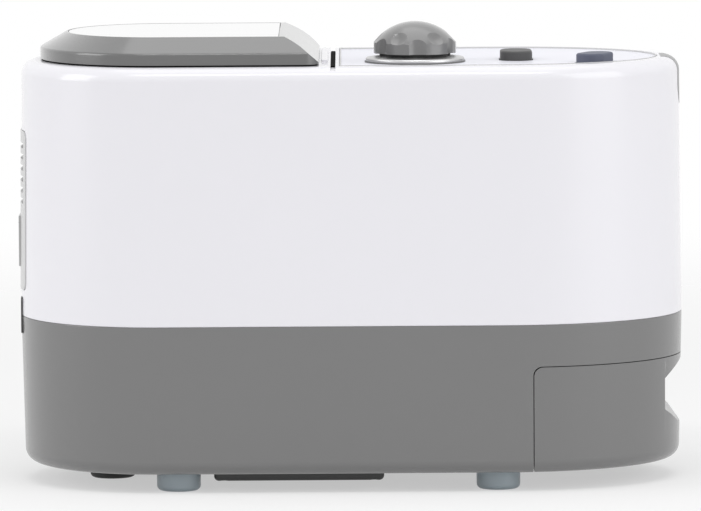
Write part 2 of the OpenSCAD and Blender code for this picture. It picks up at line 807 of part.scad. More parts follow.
module rear_panel() {
    color([0.84, 0.84, 0.85]) difference() {
        intersection() {
            difference() {
                upper_form(-panel_proud);
                upper_form(panel_seat);
            }
            rear_area(0);
        }
        air_slots(0);
        block([20, rocker_hole_w, rocker_hole_h], [rear_x, 0, switch_z - rocker_hole_h/2]);
        block([10, frame_w + 2*fit, frame_h + 2*fit],
            [switch_flange_x - 5, 0, switch_z - frame_h/2 - fit]);
    }
}

module switch_frame() {
    body_w_in = rocker_hole_w - 2*switch_room;
    body_h_in = rocker_hole_h - 2*switch_room;
    color([0.74, 0.74, 0.75]) difference() {
        union() {
            block([1, frame_w, frame_h], [switch_flange_x - 0.5, 0, switch_z - frame_h/2]);
            block([frame_l, body_w_in, body_h_in],
                [switch_flange_x - 0.1 + frame_l/2, 0, switch_z - body_h_in/2]);
        }
        block([11, rocker_w + 2*clear, rocker_h + 1.4],
            [switch_flange_x + 3.5, 0, switch_z - rocker_h/2 - 0.7]);
        translate([pivot_x, 0, switch_z]) rotate([90, 0, 0])
            cylinder(r = pivot_r + run, h = body_w_in + 2, center = true);
    }
}

module power_rocker() {
    color([0.66, 0.66, 0.67]) translate([pivot_x, 0, switch_z]) rotate([0, -rocker_tilt, 0]) {
        across(rocker_w) polygon([[0, -rocker_h/2], [-4.6, -rocker_h/2], [-3.7, 0],
            [-4.6, rocker_h/2], [0, rocker_h/2]]);
        rotate([90, 0, 0]) cylinder(r = 3, h = rocker_w, center = true);
        rotate([90, 0, 0]) cylinder(r = pivot_r, h = rocker_hole_w - 0.6, center = true);
    }
}

inlet_depth = 13;
inlet_l = 17;            // depth of the inlet's body behind its seat
lobe_r = 4.2;
lobe_y = 3.7;
pin_y = 4.3;
pin_r = 1.2;
pin_l = 22;

module inlet_cavity() {
    rotate([0, 90, 0]) {
        block([2*lobe_r, 2*lobe_y, inlet_depth + cut], [0, 0, -cut]);
        for (s = [-1, 1]) peg(lobe_r, inlet_depth + cut, [0, s*lobe_y, -cut]);
    }
}

module power_inlet() {
    front_x = inlet_seat_x - inlet_t;
    back = inlet_seat_x + inlet_pad_t;
    color([0.1, 0.1, 0.11]) difference() {
        union() {
            block([inlet_t, inlet_w, inlet_h], [inlet_seat_x - inlet_t/2, 0, seam_z - inlet_h/2]);
            block([inlet_l, inlet_body_w, inlet_body_h],
                [inlet_seat_x - 0.5 + inlet_l/2, 0, seam_z - inlet_body_h/2]);
            block([1.5, inlet_w, inlet_h], [back + 0.85, 0, seam_z - inlet_h/2]);
        }
        translate([front_x, 0, seam_z]) inlet_cavity();
        for (s = [-1, 1]) translate([front_x + inlet_depth - cut, s*pin_y, seam_z])
            rotate([0, 90, 0]) cylinder(r = pin_r, h = 10);
    }
}

module inlet_pins() {
    color([0.8, 0.75, 0.55]) for (s = [-1, 1])
        translate([inlet_seat_x - inlet_t + 3, s*pin_y, seam_z]) rotate([0, 90, 0])
            cylinder(r = pin_r, h = pin_l);
}

module intake_filter() {
    pad_t = 5;
    color([0.3, 0.3, 0.32]) intersection() {
        difference() {
            upper_form(wall + 0.02);
            upper_form(wall + pad_t);
        }
        block([60, slot_w + 4, slot_count*slot_pitch + 4],
            [rear_x + 20, 0, slot_z - slot_count*slot_pitch - 2]);
    }
}

// ---------- underside ----------

module base_pan() {
    corner = 2;
    color([0.24, 0.24, 0.25]) difference() {
        union() {
            difference() {
                translate([comp_x, 0, pan_z]) across(pan_w) {
                    translate([-pan_l/2, corner]) square([pan_l, pan_h - corner]);
                    translate([corner - pan_l/2, 0]) square([pan_l - 2*corner, pan_h]);
                    for (s = [-1, 1]) translate([s*(pan_l/2 - corner), corner]) circle(corner);
                }
                block([pan_l - 2*pan_t, pan_w - 2*pan_t, pan_h], [comp_x, 0, pan_z + pan_t]);
            }
            for (p = pan_spots) peg(boss_r, pan_h, [p[0], p[1], pan_z]);
        }
        for (p = pan_spots) {
            peg(head_room_r, pan_seat + cut, [p[0], p[1], pan_z - cut]);
            peg(pass_r, pan_h + 2*cut, [p[0], p[1], pan_z - cut]);
        }
    }
}

// Round foot with a screw well, standing on the table
module foot(r) {
    edge = 2;
    difference() {
        rotate_extrude() {
            square([r - edge, foot_h]);
            translate([0, edge]) square([r, foot_h - edge]);
            intersection() {
                translate([r - edge, edge]) circle(edge);
                square([r, foot_h]);
            }
        }
        peg(head_room_r, foot_seat + cut, [0, 0, -cut]);
        peg(pass_r, foot_h + 2*cut, [0, 0, -cut]);
    }
}

module rubber_feet() {
    color([0.62, 0.68, 0.72]) for (p = foot_spots) translate([p[0], p[1], 0]) foot(foot_d/2);
}

module rear_foot() {
    color([0.2, 0.2, 0.21]) translate([rear_foot_x, 0, 0]) foot(foot_d/2 + 0.5);
}

module base_screws() {
    color([0.7, 0.7, 0.72]) {
        for (p = concat(foot_spots, [[rear_foot_x, 0]]))
            screw(head_r, head_h, shank_r, base_shank_l, [p[0], p[1], foot_seat]);
        for (p = pan_spots)
            screw(head_r, head_h, shank_r, base_shank_l, [p[0], p[1], pan_z + pan_seat]);
        for (p = tab_spots)
            screw(head_r, head_h, shank_r, base_shank_l, [p[0], p[1], foot_h + tab_seat]);
    }
}

module case_screws() {
    color([0.7, 0.7, 0.72]) {
        for (x = case_screw_x, s = [-1, 1])
            screw(head_r, head_h, shank_r, case_shank_l, [x, s*case_screw_y, seam_z - case_seat]);
        for (p = valve_spots) translate([p[0], p[1], valve_top + cover_t]) rotate([180, 0, 0])
            screw(head_r, head_h, shank_r, case_shank_l, [0, 0, 0]);
    }
}

module board_screws() {
    color([0.7, 0.7, 0.72]) {
        for (p = board_spots)
            screw(head_r, head_h, shank_r, board_shank_l, [p[0], p[1], board_z - board_t]);
        for (s = [-1, 1]) translate([transformer_x, s*transformer_foot_y, core_z]) rotate([180, 0, 0])
            screw(head_r, head_h, shank_r, board_shank_l, [0, 0, 0]);
    }
}

// ---------- supply ----------

core_t = 22;
core_w = 50;
core_h = 42;
bracket_w = 68;
bracket_t = 1.5;
core_z = floor_z + transformer_up + bracket_t;
limb_w = 16;
window_w = 9;
window_h = 26;

module transformer_core() {
    color([0.45, 0.45, 0.47]) difference() {
        union() {
            block([core_t, core_w, core_h], [transformer_x, 0, core_z]);
            block([core_t, bracket_w, bracket_t], [transformer_x, 0, core_z - bracket_t]);
        }
        for (s = [-1, 1]) block([core_t + 2*cut, window_w, window_h],
            [transformer_x, s*(limb_w + window_w)/2, core_z + (core_h - window_h)/2]);
        for (s = [-1, 1]) peg(pass_r, 4, [transformer_x, s*transformer_foot_y, core_z - 3]);
    }
}

module transformer_coil() {
    low = core_z + (core_h - window_h)/2 + fit;
    color([0.75, 0.6, 0.25]) difference() {
        block([core_t + 16, limb_w + 2*window_w - 2*fit, window_h - 2*fit], [transformer_x, 0, low]);
        block([core_t + 2*fit, limb_w + 2*fit, window_h + 2*cut], [transformer_x, 0, low - cut]);
    }
}

module main_board() {
    color([0.1, 0.4, 0.25])
        block([board_t, main_board_w, main_board_h], [board_x, 0, floor_z]);
}

board_face_x = board_x - board_t/2;
capacitor_r = 7;
capacitor_l = 20;
capacitor_y = -12;       // middle one of the three
capacitor_pitch = 18;
capacitor_up = 66;

module board_capacitors() {
    color([0.15, 0.2, 0.35]) for (k = [-1:1])
        translate([board_face_x, capacitor_y + k*capacitor_pitch, floor_z + capacitor_up])
            rotate([0, -90, 0]) cylinder(r = capacitor_r, h = capacitor_l);
}

sink_y = 20;
sink_up = 56;
sink_l = 14;
sink_h = 26;
fin_t = 2;
fin_pitch = 5;

module heat_sink() {
    color([0.75, 0.76, 0.78]) translate([board_face_x - sink_l, sink_y, floor_z + sink_up]) {
        translate([sink_l - fin_t, 0, 0]) cube([fin_t, 4*fin_pitch + fin_t, sink_h]);
        for (k = [0:4]) translate([0, k*fin_pitch, 0]) cube([sink_l - fin_t + 0.5, fin_t, sink_h]);
    }
}

fuse_y = -40;
fuse_up = 82;
fuse_r = 2.5;
fuse_l = 20;
clip_w = 4;
clip_t = 2.8;

module fuse() {
    color([0.85, 0.85, 0.8]) translate([board_face_x - clip_w, fuse_y, floor_z + fuse_up]) {
        rotate([-90, 0, 0]) cylinder(r = fuse_r, h = fuse_l);
        for (y = [0, fuse_l - clip_w]) translate([-1, y, -clip_t]) cube([clip_w + 1, clip_w, clip_t]);
    }
}

// ---------- compressor ----------

mount_r = 6;
mount_dx = 16;
mount_y = 34;
mount_spots = [for (sx = [-1, 1]) for (sy = [-1, 1]) [comp_x + sx*mount_dx, sy*mount_y]];
frame_z = 18;
frame_t = 3.5;
plate_y = 30;            // inner face of an end plate
plate_t = 4;
plate_w = 46;
plate_h = comp_z + 22;
chamber_r = 16;
disc_r = chamber_r - 0.4;
disc_t = 2.4;
head_y = plate_y + plate_t;
head_t = 13;
core_gap = 8.4;          // half the gap between the magnet cores
magnet_core_t = 8;
magnet_core_w = 36;
coil_t = 2.4;
coil_h = 28;
nozzle_r = 3;
nozzle_bore = 1.8;
nozzle_l = 9;
nozzle_z = port_z + 3;     // height of the air lines
head_w = 40;

module compressor_mounts() {
    color([0.12, 0.12, 0.12]) for (p = mount_spots)
        peg(mount_r, frame_z - pan_z - pan_t, [p[0], p[1], pan_z + pan_t]);
}

module compressor_frame() {
    color([0.7, 0.71, 0.72]) difference() {
        union() {
            block([plate_w, 2*head_y + 12, frame_t], [comp_x, 0, frame_z]);
            for (s = [-1, 1]) block([plate_w, plate_t, plate_h - frame_z],
                [comp_x, s*(plate_y + plate_t/2), frame_z]);
        }
        translate([comp_x, 0, comp_z]) rotate([90, 0, 0])
            cylinder(r = chamber_r, h = 2*head_y + 2, center = true);
    }
}

module magnet_cores() {
    color([0.4, 0.4, 0.42]) for (s = [-1, 1])
        block([magnet_core_t, magnet_core_w, plate_h - frame_z - frame_t - 6],
            [comp_x + s*(core_gap + magnet_core_t/2), 0, frame_z + frame_t]);
}

module drive_coils() {
    color([0.72, 0.42, 0.2]) for (s = [-1, 1]) difference() {
        block([magnet_core_t + 2*coil_t, magnet_core_w + 8, coil_h],
            [comp_x + s*(core_gap + magnet_core_t/2), 0, comp_z - coil_h/2]);
        block([magnet_core_t + 2*fit, magnet_core_w + 2*fit, coil_h + 2*cut],
            [comp_x + s*(core_gap + magnet_core_t/2), 0, comp_z - coil_h/2 - cut]);
    }
}

module pump_heads() {
    color([0.85, 0.85, 0.83]) for (s = [-1, 1]) difference() {
        union() {
            block([head_w, head_t, head_w], [comp_x, s*(head_y + head_t/2), comp_z - head_w/2]);
            translate([comp_x, s*(head_y + head_t/2), nozzle_z]) rotate([0, 90, 0])
                cylinder(r = nozzle_r, h = head_w + 2*nozzle_l, center = true);
        }
        translate([comp_x, s*(head_y - cut), comp_z]) rotate([-s*90, 0, 0])
            cylinder(r = chamber_r, h = stroke + 3.5 + cut);
        for (e = [-1, 1]) translate([comp_x + e*9, s*(head_y + head_t/2), nozzle_z])
            rotate([0, e*90, 0]) cylinder(r = nozzle_bore, h = head_w + nozzle_l);
        for (e = [-1, 1]) translate([comp_x + e*9, s*head_y, nozzle_z])
            rotate([-s*90, 0, 0]) cylinder(r = 1.4, h = head_t/2);
    }
}

silencer_r = 6;
silencer_l = 12;

module intake_silencers() {
    color([0.9, 0.9, 0.86]) for (s = [-1, 1])
        translate([comp_x - head_w/2 - 2, s*(head_y + head_t/2), nozzle_z]) rotate([0, -90, 0])
            difference() {
                cylinder(r = silencer_r, h = silencer_l);
                translate([0, 0, -cut]) cylinder(r = nozzle_r + run, h = nozzle_l - 2 + cut + 0.2);
            }
}

rod_r = 3;
magnet_w = 11;
magnet_l = 10;
magnet_h = 14;
magnet_y = 12;
bar_l = 48;
bar_w = 10;
bar_h = 18;

module armature() {
    color([0.55, 0.56, 0.58]) {
        difference() {
            block([bar_w, bar_l, bar_h], [comp_x, 0, comp_z - bar_h/2]);
            for (s = [-1, 1]) block([magnet_w + cut, magnet_l, magnet_h],
                [comp_x, s*magnet_y, comp_z - magnet_h/2]);
        }
        translate([comp_x, 0, comp_z]) rotate([90, 0, 0])
            cylinder(r = rod_r, h = 2*(plate_y + 2), center = true);
        for (s = [-1, 1]) translate([comp_x, s*(plate_y + 0.8), comp_z]) rotate([-s*90, 0, 0])
            cylinder(r = disc_r, h = disc_t);
    }
}

module armature_magnets() {
    color([0.2, 0.2, 0.22]) for (s = [-1, 1]) difference() {
        block([magnet_w, magnet_l, magnet_h], [comp_x, s*magnet_y, comp_z - magnet_h/2]);
        translate([comp_x, s*magnet_y, comp_z]) rotate([90, 0, 0])
            cylinder(r = rod_r + run, h = magnet_l + 2, center = true);
    }
}

// ---------- air lines ----------

hose_in = nozzle_r + run;
hose_out = nozzle_r + 1.6;
tee_x = 32;
bend_r = 10;
line_y = head_y + head_t/2;
line_start_x = comp_x + head_w/2 + 1.5;
valve_in_x = valve_x - valve_l/2;
tee_l = 9;
tee_r = 4.6;
tee_room = tee_r + 0.2;     // how far the hoses stop from the middle of the tee
lap = 0.01;              // overlap where two lengths of a hose join

// Path of the air lines from the pump heads to the tee and on to the valve, r in radius
module line_path(r, past) {
    for (s = [-1, 1]) {
        translate([line_start_x - past, s*line_y, 0]) rotate([0, 90, 0])
            cylinder(r = r, h = tee_x - bend_r - line_start_x + past + lap);
        translate([tee_x - bend_r, s*(line_y - bend_r), 0]) rotate([0, 0, s > 0 ? 0 : -90])
            rotate_extrude(angle = 90) translate([bend_r, 0]) circle(r);
        translate([tee_x, s*(line_y - bend_r + lap), 0]) rotate([s*90, 0, 0])
            cylinder(r = r, h = line_y - bend_r + lap - tee_room + past);
    }
    translate([tee_x + tee_room - past, 0, 0]) rotate([0, 90, 0])
        cylinder(r = r, h = valve_in_x - 1.5 - tee_x - tee_room + 2*past);
}

module supply_hoses() {
    color([0.85, 0.87, 0.88, 0.9]) translate([0, 0, nozzle_z]) difference() {
        line_path(hose_out, 0);
        line_path(hose_in, 0.5);
    }
}

module hose_tee() {
    color([0.9, 0.9, 0.88]) translate([tee_x, 0, nozzle_z]) difference() {
        union() {
            rotate([90, 0, 0]) cylinder(r = nozzle_r, h = 2*(tee_l + 3), center = true);
            rotate([0, 90, 0]) cylinder(r = nozzle_r, h = tee_l + 3);
            sphere(r = tee_r);
        }
        rotate([90, 0, 0]) cylinder(r = nozzle_bore, h = 2*(tee_l + 4), center = true);
        rotate([0, 90, 0]) cylinder(r = nozzle_bore, h = tee_l + 4);
    }
}

rotor_r = 11.5;
rotor_t = 3.6;
rotor_room_h = 4.4;
rotor_shaft_r = 3;
port_ring_r = 8;
channel_r = 1.6;
rise_r = 1.3;
motor_r = 16.5;
motor_h = 17;
barb_r = 3.2;
socket_back_x = port_wall_x - port_depth - 2;
valve_out_x = valve_x + valve_l/2;
barb_l = (socket_back_x - valve_out_x)/2 - 1.2;

module valve_block() {
    x = valve_x;
    lane = port_ring_r*sin(45);
    room_z = valve_top - rotor_room_h;
    color([0.78, 0.78, 0.76]) difference() {
        union() {
            block([valve_l, valve_w, valve_t], [x, 0, valve_z]);
            translate([valve_in_x + cut, 0, nozzle_z]) rotate([0, -90, 0])
                cylinder(r = nozzle_r, h = nozzle_l + cut);
            for (y = ports) translate([valve_out_x - cut, y, port_z]) rotate([0, 90, 0])
                cylinder(r = barb_r, h = barb_l + cut);
        }
        peg(rotor_r + clear, rotor_room_h + cut, [x, 0, room_z]);
        peg(rotor_shaft_r + run, valve_t, [x, 0, valve_z + 2]);
        translate([valve_in_x - nozzle_l - cut, 0, nozzle_z]) rotate([0, 90, 0])
            cylinder(r = nozzle_bore, h = nozzle_l + cut + 4);
        // each outlet's channel runs back, and sideways where it must, to a port under the rotor
        for (y = ports) {
            near = abs(y) < port_pitch;
            at_x = near ? x + lane : x - lane;
            at_y = near ? y : sign(y)*lane;
            peg(rise_r, room_z - port_z + cut, [at_x, at_y, port_z]);
            translate([at_x - channel_r, y, port_z]) rotate([0, 90, 0])
                cylinder(r = channel_r, h = valve_out_x + barb_l + cut - at_x + channel_r);
            if (!near) translate([at_x, min(y, at_y), port_z]) rotate([-90, 0, 0])
                cylinder(r = rise_r, h = abs(y - at_y));
        }
        for (p = valve_spots) peg(pass_r, valve_t + 2*cut, [p[0], p[1], valve_z - cut]);
    }
}

module valve_cover() {
    color([0.7, 0.71, 0.72]) difference() {
        block([valve_l, valve_w, cover_t], [valve_x, 0, valve_top]);
        peg(rotor_shaft_r + 0.3, cover_t + 2*cut, [valve_x, 0, valve_top - cut]);
        for (p = valve_spots) peg(pass_r, cover_t + 2*cut, [p[0], p[1], valve_top - cut]);
    }
}

module valve_rotor() {
    color([0.9, 0.88, 0.8]) difference() {
        union() {
            peg(rotor_r, rotor_t, [valve_x, 0, valve_top - rotor_room_h + run]);
            peg(rotor_shaft_r, valve_t + cover_t + 5, [valve_x, 0, valve_z + 2.2]);
        }
        peg(1.8, 8, [valve_x + port_ring_r, 0, valve_top - rotor_room_h - cut]);
    }
}

module valve_motor() {
    color([0.75, 0.75, 0.77]) difference() {
        union() {
            peg(motor_r, motor_h, [valve_x, 0, valve_top + cover_t]);
            peg(4, 3, [valve_x, 0, valve_top + cover_t + motor_h - cut]);
        }
        peg(rotor_shaft_r + run, 9, [valve_x, 0, valve_top + cover_t - cut]);
    }
}

sensor_l = 9;
sensor_w = 7;
sensor_h = 5;
sensor_y = valve_w/2 - 4;

module pressure_sensor() {
    color([0.2, 0.2, 0.22]) {
        block([sensor_l, sensor_w, sensor_h], [valve_x, sensor_y, valve_top + cover_t]);
        peg(1.5, 3, [valve_x, sensor_y, valve_top + cover_t + sensor_h]);
    }
}

block_t = 3;

module outlet_hoses() {
    from = valve_out_x + clear;
    to = socket_back_x - clear;
    color([0.85, 0.87, 0.88, 0.9]) for (y = ports) translate([0, y, port_z])
        translate([from, 0, 0]) rotate([0, 90, 0]) difference() {
            cylinder(r = barb_r + 1.4, h = to - from);
            translate([0, 0, -cut]) cylinder(r = barb_r + run, h = to - from + 2*cut);
        }
}

module port_block() {
    plate_h_in = recess_back_h + 2*wall - 0.4;
    plate_w_in = port_count*port_pitch - 1;
    color([0.3, 0.3, 0.31]) difference() {
        union() {
            block([block_t, plate_w_in, plate_h_in],
                [block_x - block_t/2, 0, port_z - plate_h_in/2]);
            for (y = ports) translate([socket_back_x, y, port_z]) rotate([0, 90, 0])
                cylinder(r = socket_r, h = port_wall_x - socket_back_x);
            for (y = ports) translate([socket_back_x - barb_l, y, port_z]) rotate([0, 90, 0])
                cylinder(r = barb_r, h = barb_l + cut);
        }
        for (y = ports) translate([port_wall_x - port_depth, y, port_z]) rotate([0, 90, 0])
            cylinder(r = port_bore/2, h = port_depth + cut);
        for (y = ports) translate([socket_back_x - barb_l - cut, y, port_z]) rotate([0, 90, 0])
            cylinder(r = channel_r, h = barb_l + 4);
    }
}

upper_shell();
lower_shell();
front_end_cap();
display_housing();
display_lens();
display_module();
control_panel();
nose_strip();
knob_collar();
pressure_knob();
potentiometer_shaft();
potentiometer_body();
start_button();
mode_button();
tact_switches();
control_board();
rear_panel();
switch_frame();
power_rocker();
power_inlet();
inlet_pins();
intake_filter();
base_pan();
rubber_feet();
rear_foot();
base_screws();
case_screws();
board_screws();
transformer_core();
transformer_coil();
main_board();
board_capacitors();
heat_sink();
fuse();
compressor_mounts();
compressor_frame();
magnet_cores();
drive_coils();
pump_heads();
intake_silencers();
armature();
armature_magnets();
supply_hoses();
hose_tee();
valve_block();
valve_cover();
valve_rotor();
valve_motor();
pressure_sensor();
outlet_hoses();
port_block();
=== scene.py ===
"""A compression therapy pump on a pale floor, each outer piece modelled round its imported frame."""

from math import cos, pi, radians, sin

import bmesh
import bpy
from mathutils import Matrix, Vector


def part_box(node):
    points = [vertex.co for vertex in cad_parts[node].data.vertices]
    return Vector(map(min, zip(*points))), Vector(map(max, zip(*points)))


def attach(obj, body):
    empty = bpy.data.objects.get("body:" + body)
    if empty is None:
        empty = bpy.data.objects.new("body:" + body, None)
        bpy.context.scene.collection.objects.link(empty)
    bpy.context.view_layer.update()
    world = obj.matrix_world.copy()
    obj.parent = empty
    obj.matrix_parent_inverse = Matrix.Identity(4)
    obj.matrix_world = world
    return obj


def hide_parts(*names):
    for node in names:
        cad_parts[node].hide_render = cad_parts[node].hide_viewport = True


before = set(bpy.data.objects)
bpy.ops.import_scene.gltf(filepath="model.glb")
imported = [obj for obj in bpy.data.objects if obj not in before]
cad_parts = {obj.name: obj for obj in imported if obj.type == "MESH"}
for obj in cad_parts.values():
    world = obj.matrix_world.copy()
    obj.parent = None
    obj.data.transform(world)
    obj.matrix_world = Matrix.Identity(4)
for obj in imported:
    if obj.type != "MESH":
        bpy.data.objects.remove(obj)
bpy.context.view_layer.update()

# ---------- sizes, in metres ----------

MM = 0.001
BODY_L = 275*MM
HALF_W = 65*MM
SEAM_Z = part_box("upper_shell")[0].z
TOP_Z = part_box("control_panel")[1].z
BASE_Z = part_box("lower_shell")[0].z
NOSE_L = 74*MM
REAR_L = 59*MM
NOSE_X = BODY_L/2
REAR_X = -BODY_L/2
NOSE_CX = NOSE_X - NOSE_L            # where the nose starts to curve
REAR_CX = REAR_X + REAR_L            # where the rear end starts to curve
UPPER_DRAFT = 1*MM
LOWER_DRAFT = 1.3*MM
SHOULDER_R = 5.8*MM
BASE_R = 5.5*MM
WALL = 2.5*MM
EDGE_BREAK = 0.4*MM
RING = 256                           # points round the body
ROLL_STEPS = 8
EPS = 0.01*MM

PARTING = 0.35*MM
CAP_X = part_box("front_end_cap")[0].x + 11*MM      # the cap's parting line
PORT_Z = 36.4*MM
PORT_YS = [(k - 1.5)*12*MM for k in range(4)]
RECESS_BACK = NOSE_X - 8*MM
RECESS_HALF = 6.5*MM

KNOB = Vector((26.8, -25, 0))*MM
START = Vector((68.7, -14, 0))*MM
MODE = Vector((100.6, -33.5, 0))*MM
MODE_TURN = radians(-25)
START_SIZE = (13.2*MM, 22*MM)        # width and length of a button's cap
MODE_SIZE = (12*MM, 20*MM)
HOLE_GAP = 0.4*MM                    # round each button, in the case and the film
BUSH_R = 12.2*MM                     # hole for the collar's bush
HOLE_REACH = 5*MM                    # how far these cutters pass the top, each way

WELL_R = 3.1*MM                      # well of a screw head
PASS_R = 1.75*MM                     # hole of a screw's shank
SWITCH_Z = SEAM_Z + 30.7*MM          # middle of the power switch
INLET_SEAT = REAR_X + 2.2*MM         # what the inlet's flange lies on
INLET_FLANGE = (11.5*MM, 7.5*MM)     # half its width and half its height
INLET_BODY = (9.5*MM, 5.8*MM)
INLET_GAP = 0.15*MM


# ---------- working by hand ----------

def clear():
    """Object mode with nothing selected."""
    if bpy.context.mode != "OBJECT":
        bpy.ops.object.mode_set(mode="OBJECT")
    bpy.ops.object.select_all(action="DESELECT")


def take(piece):
    """Makes a piece the only one selected."""
    clear()
    piece.select_set(True)
    bpy.context.view_layer.objects.active = piece


def added(name):
    """Names the primitive just added and puts its place in its mesh."""
    piece = bpy.context.object
    piece.name = name
    piece.data.name = name
    bpy.ops.object.transform_apply(location=True, rotation=True, scale=True)
    return piece


def pick(piece, kind, test):
    """Edit mode with only the vertices, edges or faces selected whose place passes the test."""
    if bpy.context.mode != "EDIT_MESH" or bpy.context.object is not piece:
        take(piece)
        bpy.ops.object.mode_set(mode="EDIT")
    bpy.ops.mesh.select_mode(type=kind)
    bpy.ops.mesh.select_all(action="DESELECT")
    mesh = bmesh.from_edit_mesh(piece.data)
    groups = {"VERT": mesh.verts, "EDGE": mesh.edges, "FACE": mesh.faces}
    for item in groups[kind]:
        if test(item):
            item.select_set(True)
    mesh.select_flush_mode()
    bmesh.update_edit_mesh(piece.data)


def above(at, z):
    """Point over a place of the top, at a height."""
    return at + Vector((0, 0, z))


def centre(item):
    """Middle of an edge's or a face's corners."""
    return sum((v.co for v in item.verts), Vector())/len(item.verts)


def move(x=0.0, y=0.0, z=0.0):
    """Moves what is selected."""
    bpy.ops.transform.translate(value=(x, y, z))


def resize(x, y, z, about):
    """Scales what is selected about a point."""
    bpy.ops.transform.resize(value=(x, y, z), center_override=about)


def extrude(x=0.0, y=0.0, z=0.0):
    """Draws out what is selected."""
    bpy.ops.mesh.extrude_region_move(TRANSFORM_OT_translate={"value": (x, y, z)})


def outwards(piece):
    """Turns every face of a closed piece to the outside."""
    pick(piece, "FACE", lambda f: True)
    bpy.ops.mesh.normals_make_consistent(inside=False)
    clear()


def modify(piece, kind, **settings):
    """Adds a modifier, sets it and applies it."""
    take(piece)
    bpy.ops.object.modifier_add(type=kind)
    modifier = piece.modifiers[-1]
    for name, value in settings.items():
        setattr(modifier, name, value)
    bpy.ops.object.modifier_apply(modifier=modifier.name)


def cut(piece, cutter, operation="DIFFERENCE"):
    """Cuts a piece with another one, which is used up."""
    clear()
    modify(piece, "BOOLEAN", object=cutter, operation=operation, solver="EXACT")
    bpy.data.objects.remove(cutter)


def finish(piece, bevel=0.0, segments=2, angle=30):
    """Rounds the sharp edges and shades the rest smooth."""
    if bevel:
        modify(piece, "BEVEL", width=bevel, segments=segments, limit_method="ANGLE",
               angle_limit=radians(angle), use_clamp_overlap=True)
    take(piece)
    bpy.ops.object.shade_smooth_by_angle(angle=radians(35))
    modify(piece, "WEIGHTED_NORMAL", keep_sharp=True)
    return piece


def block(name, low, high):
    """Box from one corner to the other."""
    low, high = Vector(low), Vector(high)
    clear()
    bpy.ops.mesh.primitive_cube_add(size=1, location=(low + high)/2, scale=high - low)
    return added(name)


def rod(name, radius, start, end, sides=64):
    """Cylinder between two points."""
    start, end = Vector(start), Vector(end)
    turn = (end - start).to_track_quat("Z", "Y").to_euler()
    clear()
    bpy.ops.mesh.primitive_cylinder_add(vertices=sides, radius=radius, depth=(end - start).length,
                                        location=(start + end)/2, rotation=turn)
    return added(name)


def split(x=0.0, y=0.0, z=0.0, across=(1, 0, 0), clear_outer=False):
    """Cuts the selected faces along a plane."""
    bpy.ops.mesh.bisect(plane_co=(x, y, z), plane_no=across, clear_outer=clear_outer,
                        threshold=EPS/10)


def joined(name, pieces):
    """One piece from several."""
    clear()
    for piece in pieces:
        piece.select_set(True)
    bpy.context.view_layer.objects.active = pieces[0]
    bpy.ops.object.join()
    pieces[0].name = name
    return pieces[0]


def copied(piece, x=0.0, y=0.0, z=0.0):
    """Copy of a piece with its own mesh, moved."""
    take(piece)
    bpy.ops.object.duplicate()
    copy = bpy.context.object
    copy.location = (x, y, z)
    bpy.ops.object.transform_apply(location=True)
    return copy


# ---------- body forms ----------

def outline_face(name, inset, z):
    """Flat face with the body's outline, drawn in by an inset: two half ellipses and two flanks."""
    clear()
    bpy.ops.mesh.primitive_circle_add(vertices=RING, radius=1, fill_type="NGON")
    piece = added(name)
    for side, length, middle in ((1, NOSE_L, NOSE_CX), (-1, REAR_L, REAR_CX)):
        pick(piece, "VERT", lambda v: v.co.z < EPS and v.co.x*side > -EPS*side)
        resize(length - inset, HALF_W - inset, 1, (0, 0, 0))
        move(middle, 0, z)
    clear()
    return piece


def roll(radius, side):
    """Rolls the selected face over an edge of this radius, up or down."""
    for k in range(ROLL_STEPS):
        a, b = (pi/2*(k + n)/ROLL_STEPS for n in (0, 1))
        bpy.ops.mesh.inset(thickness=radius*(cos(a) - cos(b)), depth=side*radius*(sin(b) - sin(a)))


def upper_form(name, inset):
    """Upper body without its lower face, drawn in by an inset."""
    piece = outline_face(name, inset, SEAM_Z)
    pick(piece, "FACE", lambda f: True)
    bpy.ops.mesh.inset(thickness=UPPER_DRAFT, depth=TOP_Z - SHOULDER_R - SEAM_Z)
    roll(SHOULDER_R - inset, 1)
    clear()
    return piece


def lower_form(name, inset):
    """Lower body without its upper face, drawn in by an inset."""
    piece = outline_face(name, inset, SEAM_Z)
    pick(piece, "FACE", lambda f: True)
    lean = LOWER_DRAFT*(SEAM_Z - BASE_Z - BASE_R)/(SEAM_Z - BASE_Z)
    bpy.ops.mesh.inset(thickness=lean, depth=BASE_Z + BASE_R - SEAM_Z)
    roll(BASE_R - inset, -1)
    outwards(piece)
    return piece


def closed(piece):
    """Closes the open face of a form."""
    pick(piece, "EDGE", lambda e: e.is_boundary)
    bpy.ops.mesh.edge_face_add()
    outwards(piece)
    return piece


def walled(piece):
    """Gives a form its wall and breaks the edges along the seam."""
    modify(piece, "SOLIDIFY", thickness=WALL, offset=-1, use_even_offset=True)
    pick(piece, "EDGE", lambda e: all(abs(v.co.z - SEAM_Z) < EPS for v in e.verts)
         and any(abs(f.normal.z) < 0.5 for f in e.link_faces))
    bpy.ops.mesh.bevel(offset=EDGE_BREAK, segments=2)
    clear()
    return piece


def pill(name, width, length, low, high, at, turn=0.0):
    """Pill-shaped prism across the body."""
    piece = rod(name, width/2, (0, 0, low), (0, 0, high), 96)
    for side in (1, -1):
        pick(piece, "VERT", lambda v: v.co.y*side > EPS)
        move(0, side*(length - width)/2, 0)
    clear()
    piece.rotation_euler.z = turn
    piece.location = at
    take(piece)
    bpy.ops.object.transform_apply(location=True, rotation=True)
    return piece


# ---------- case ----------

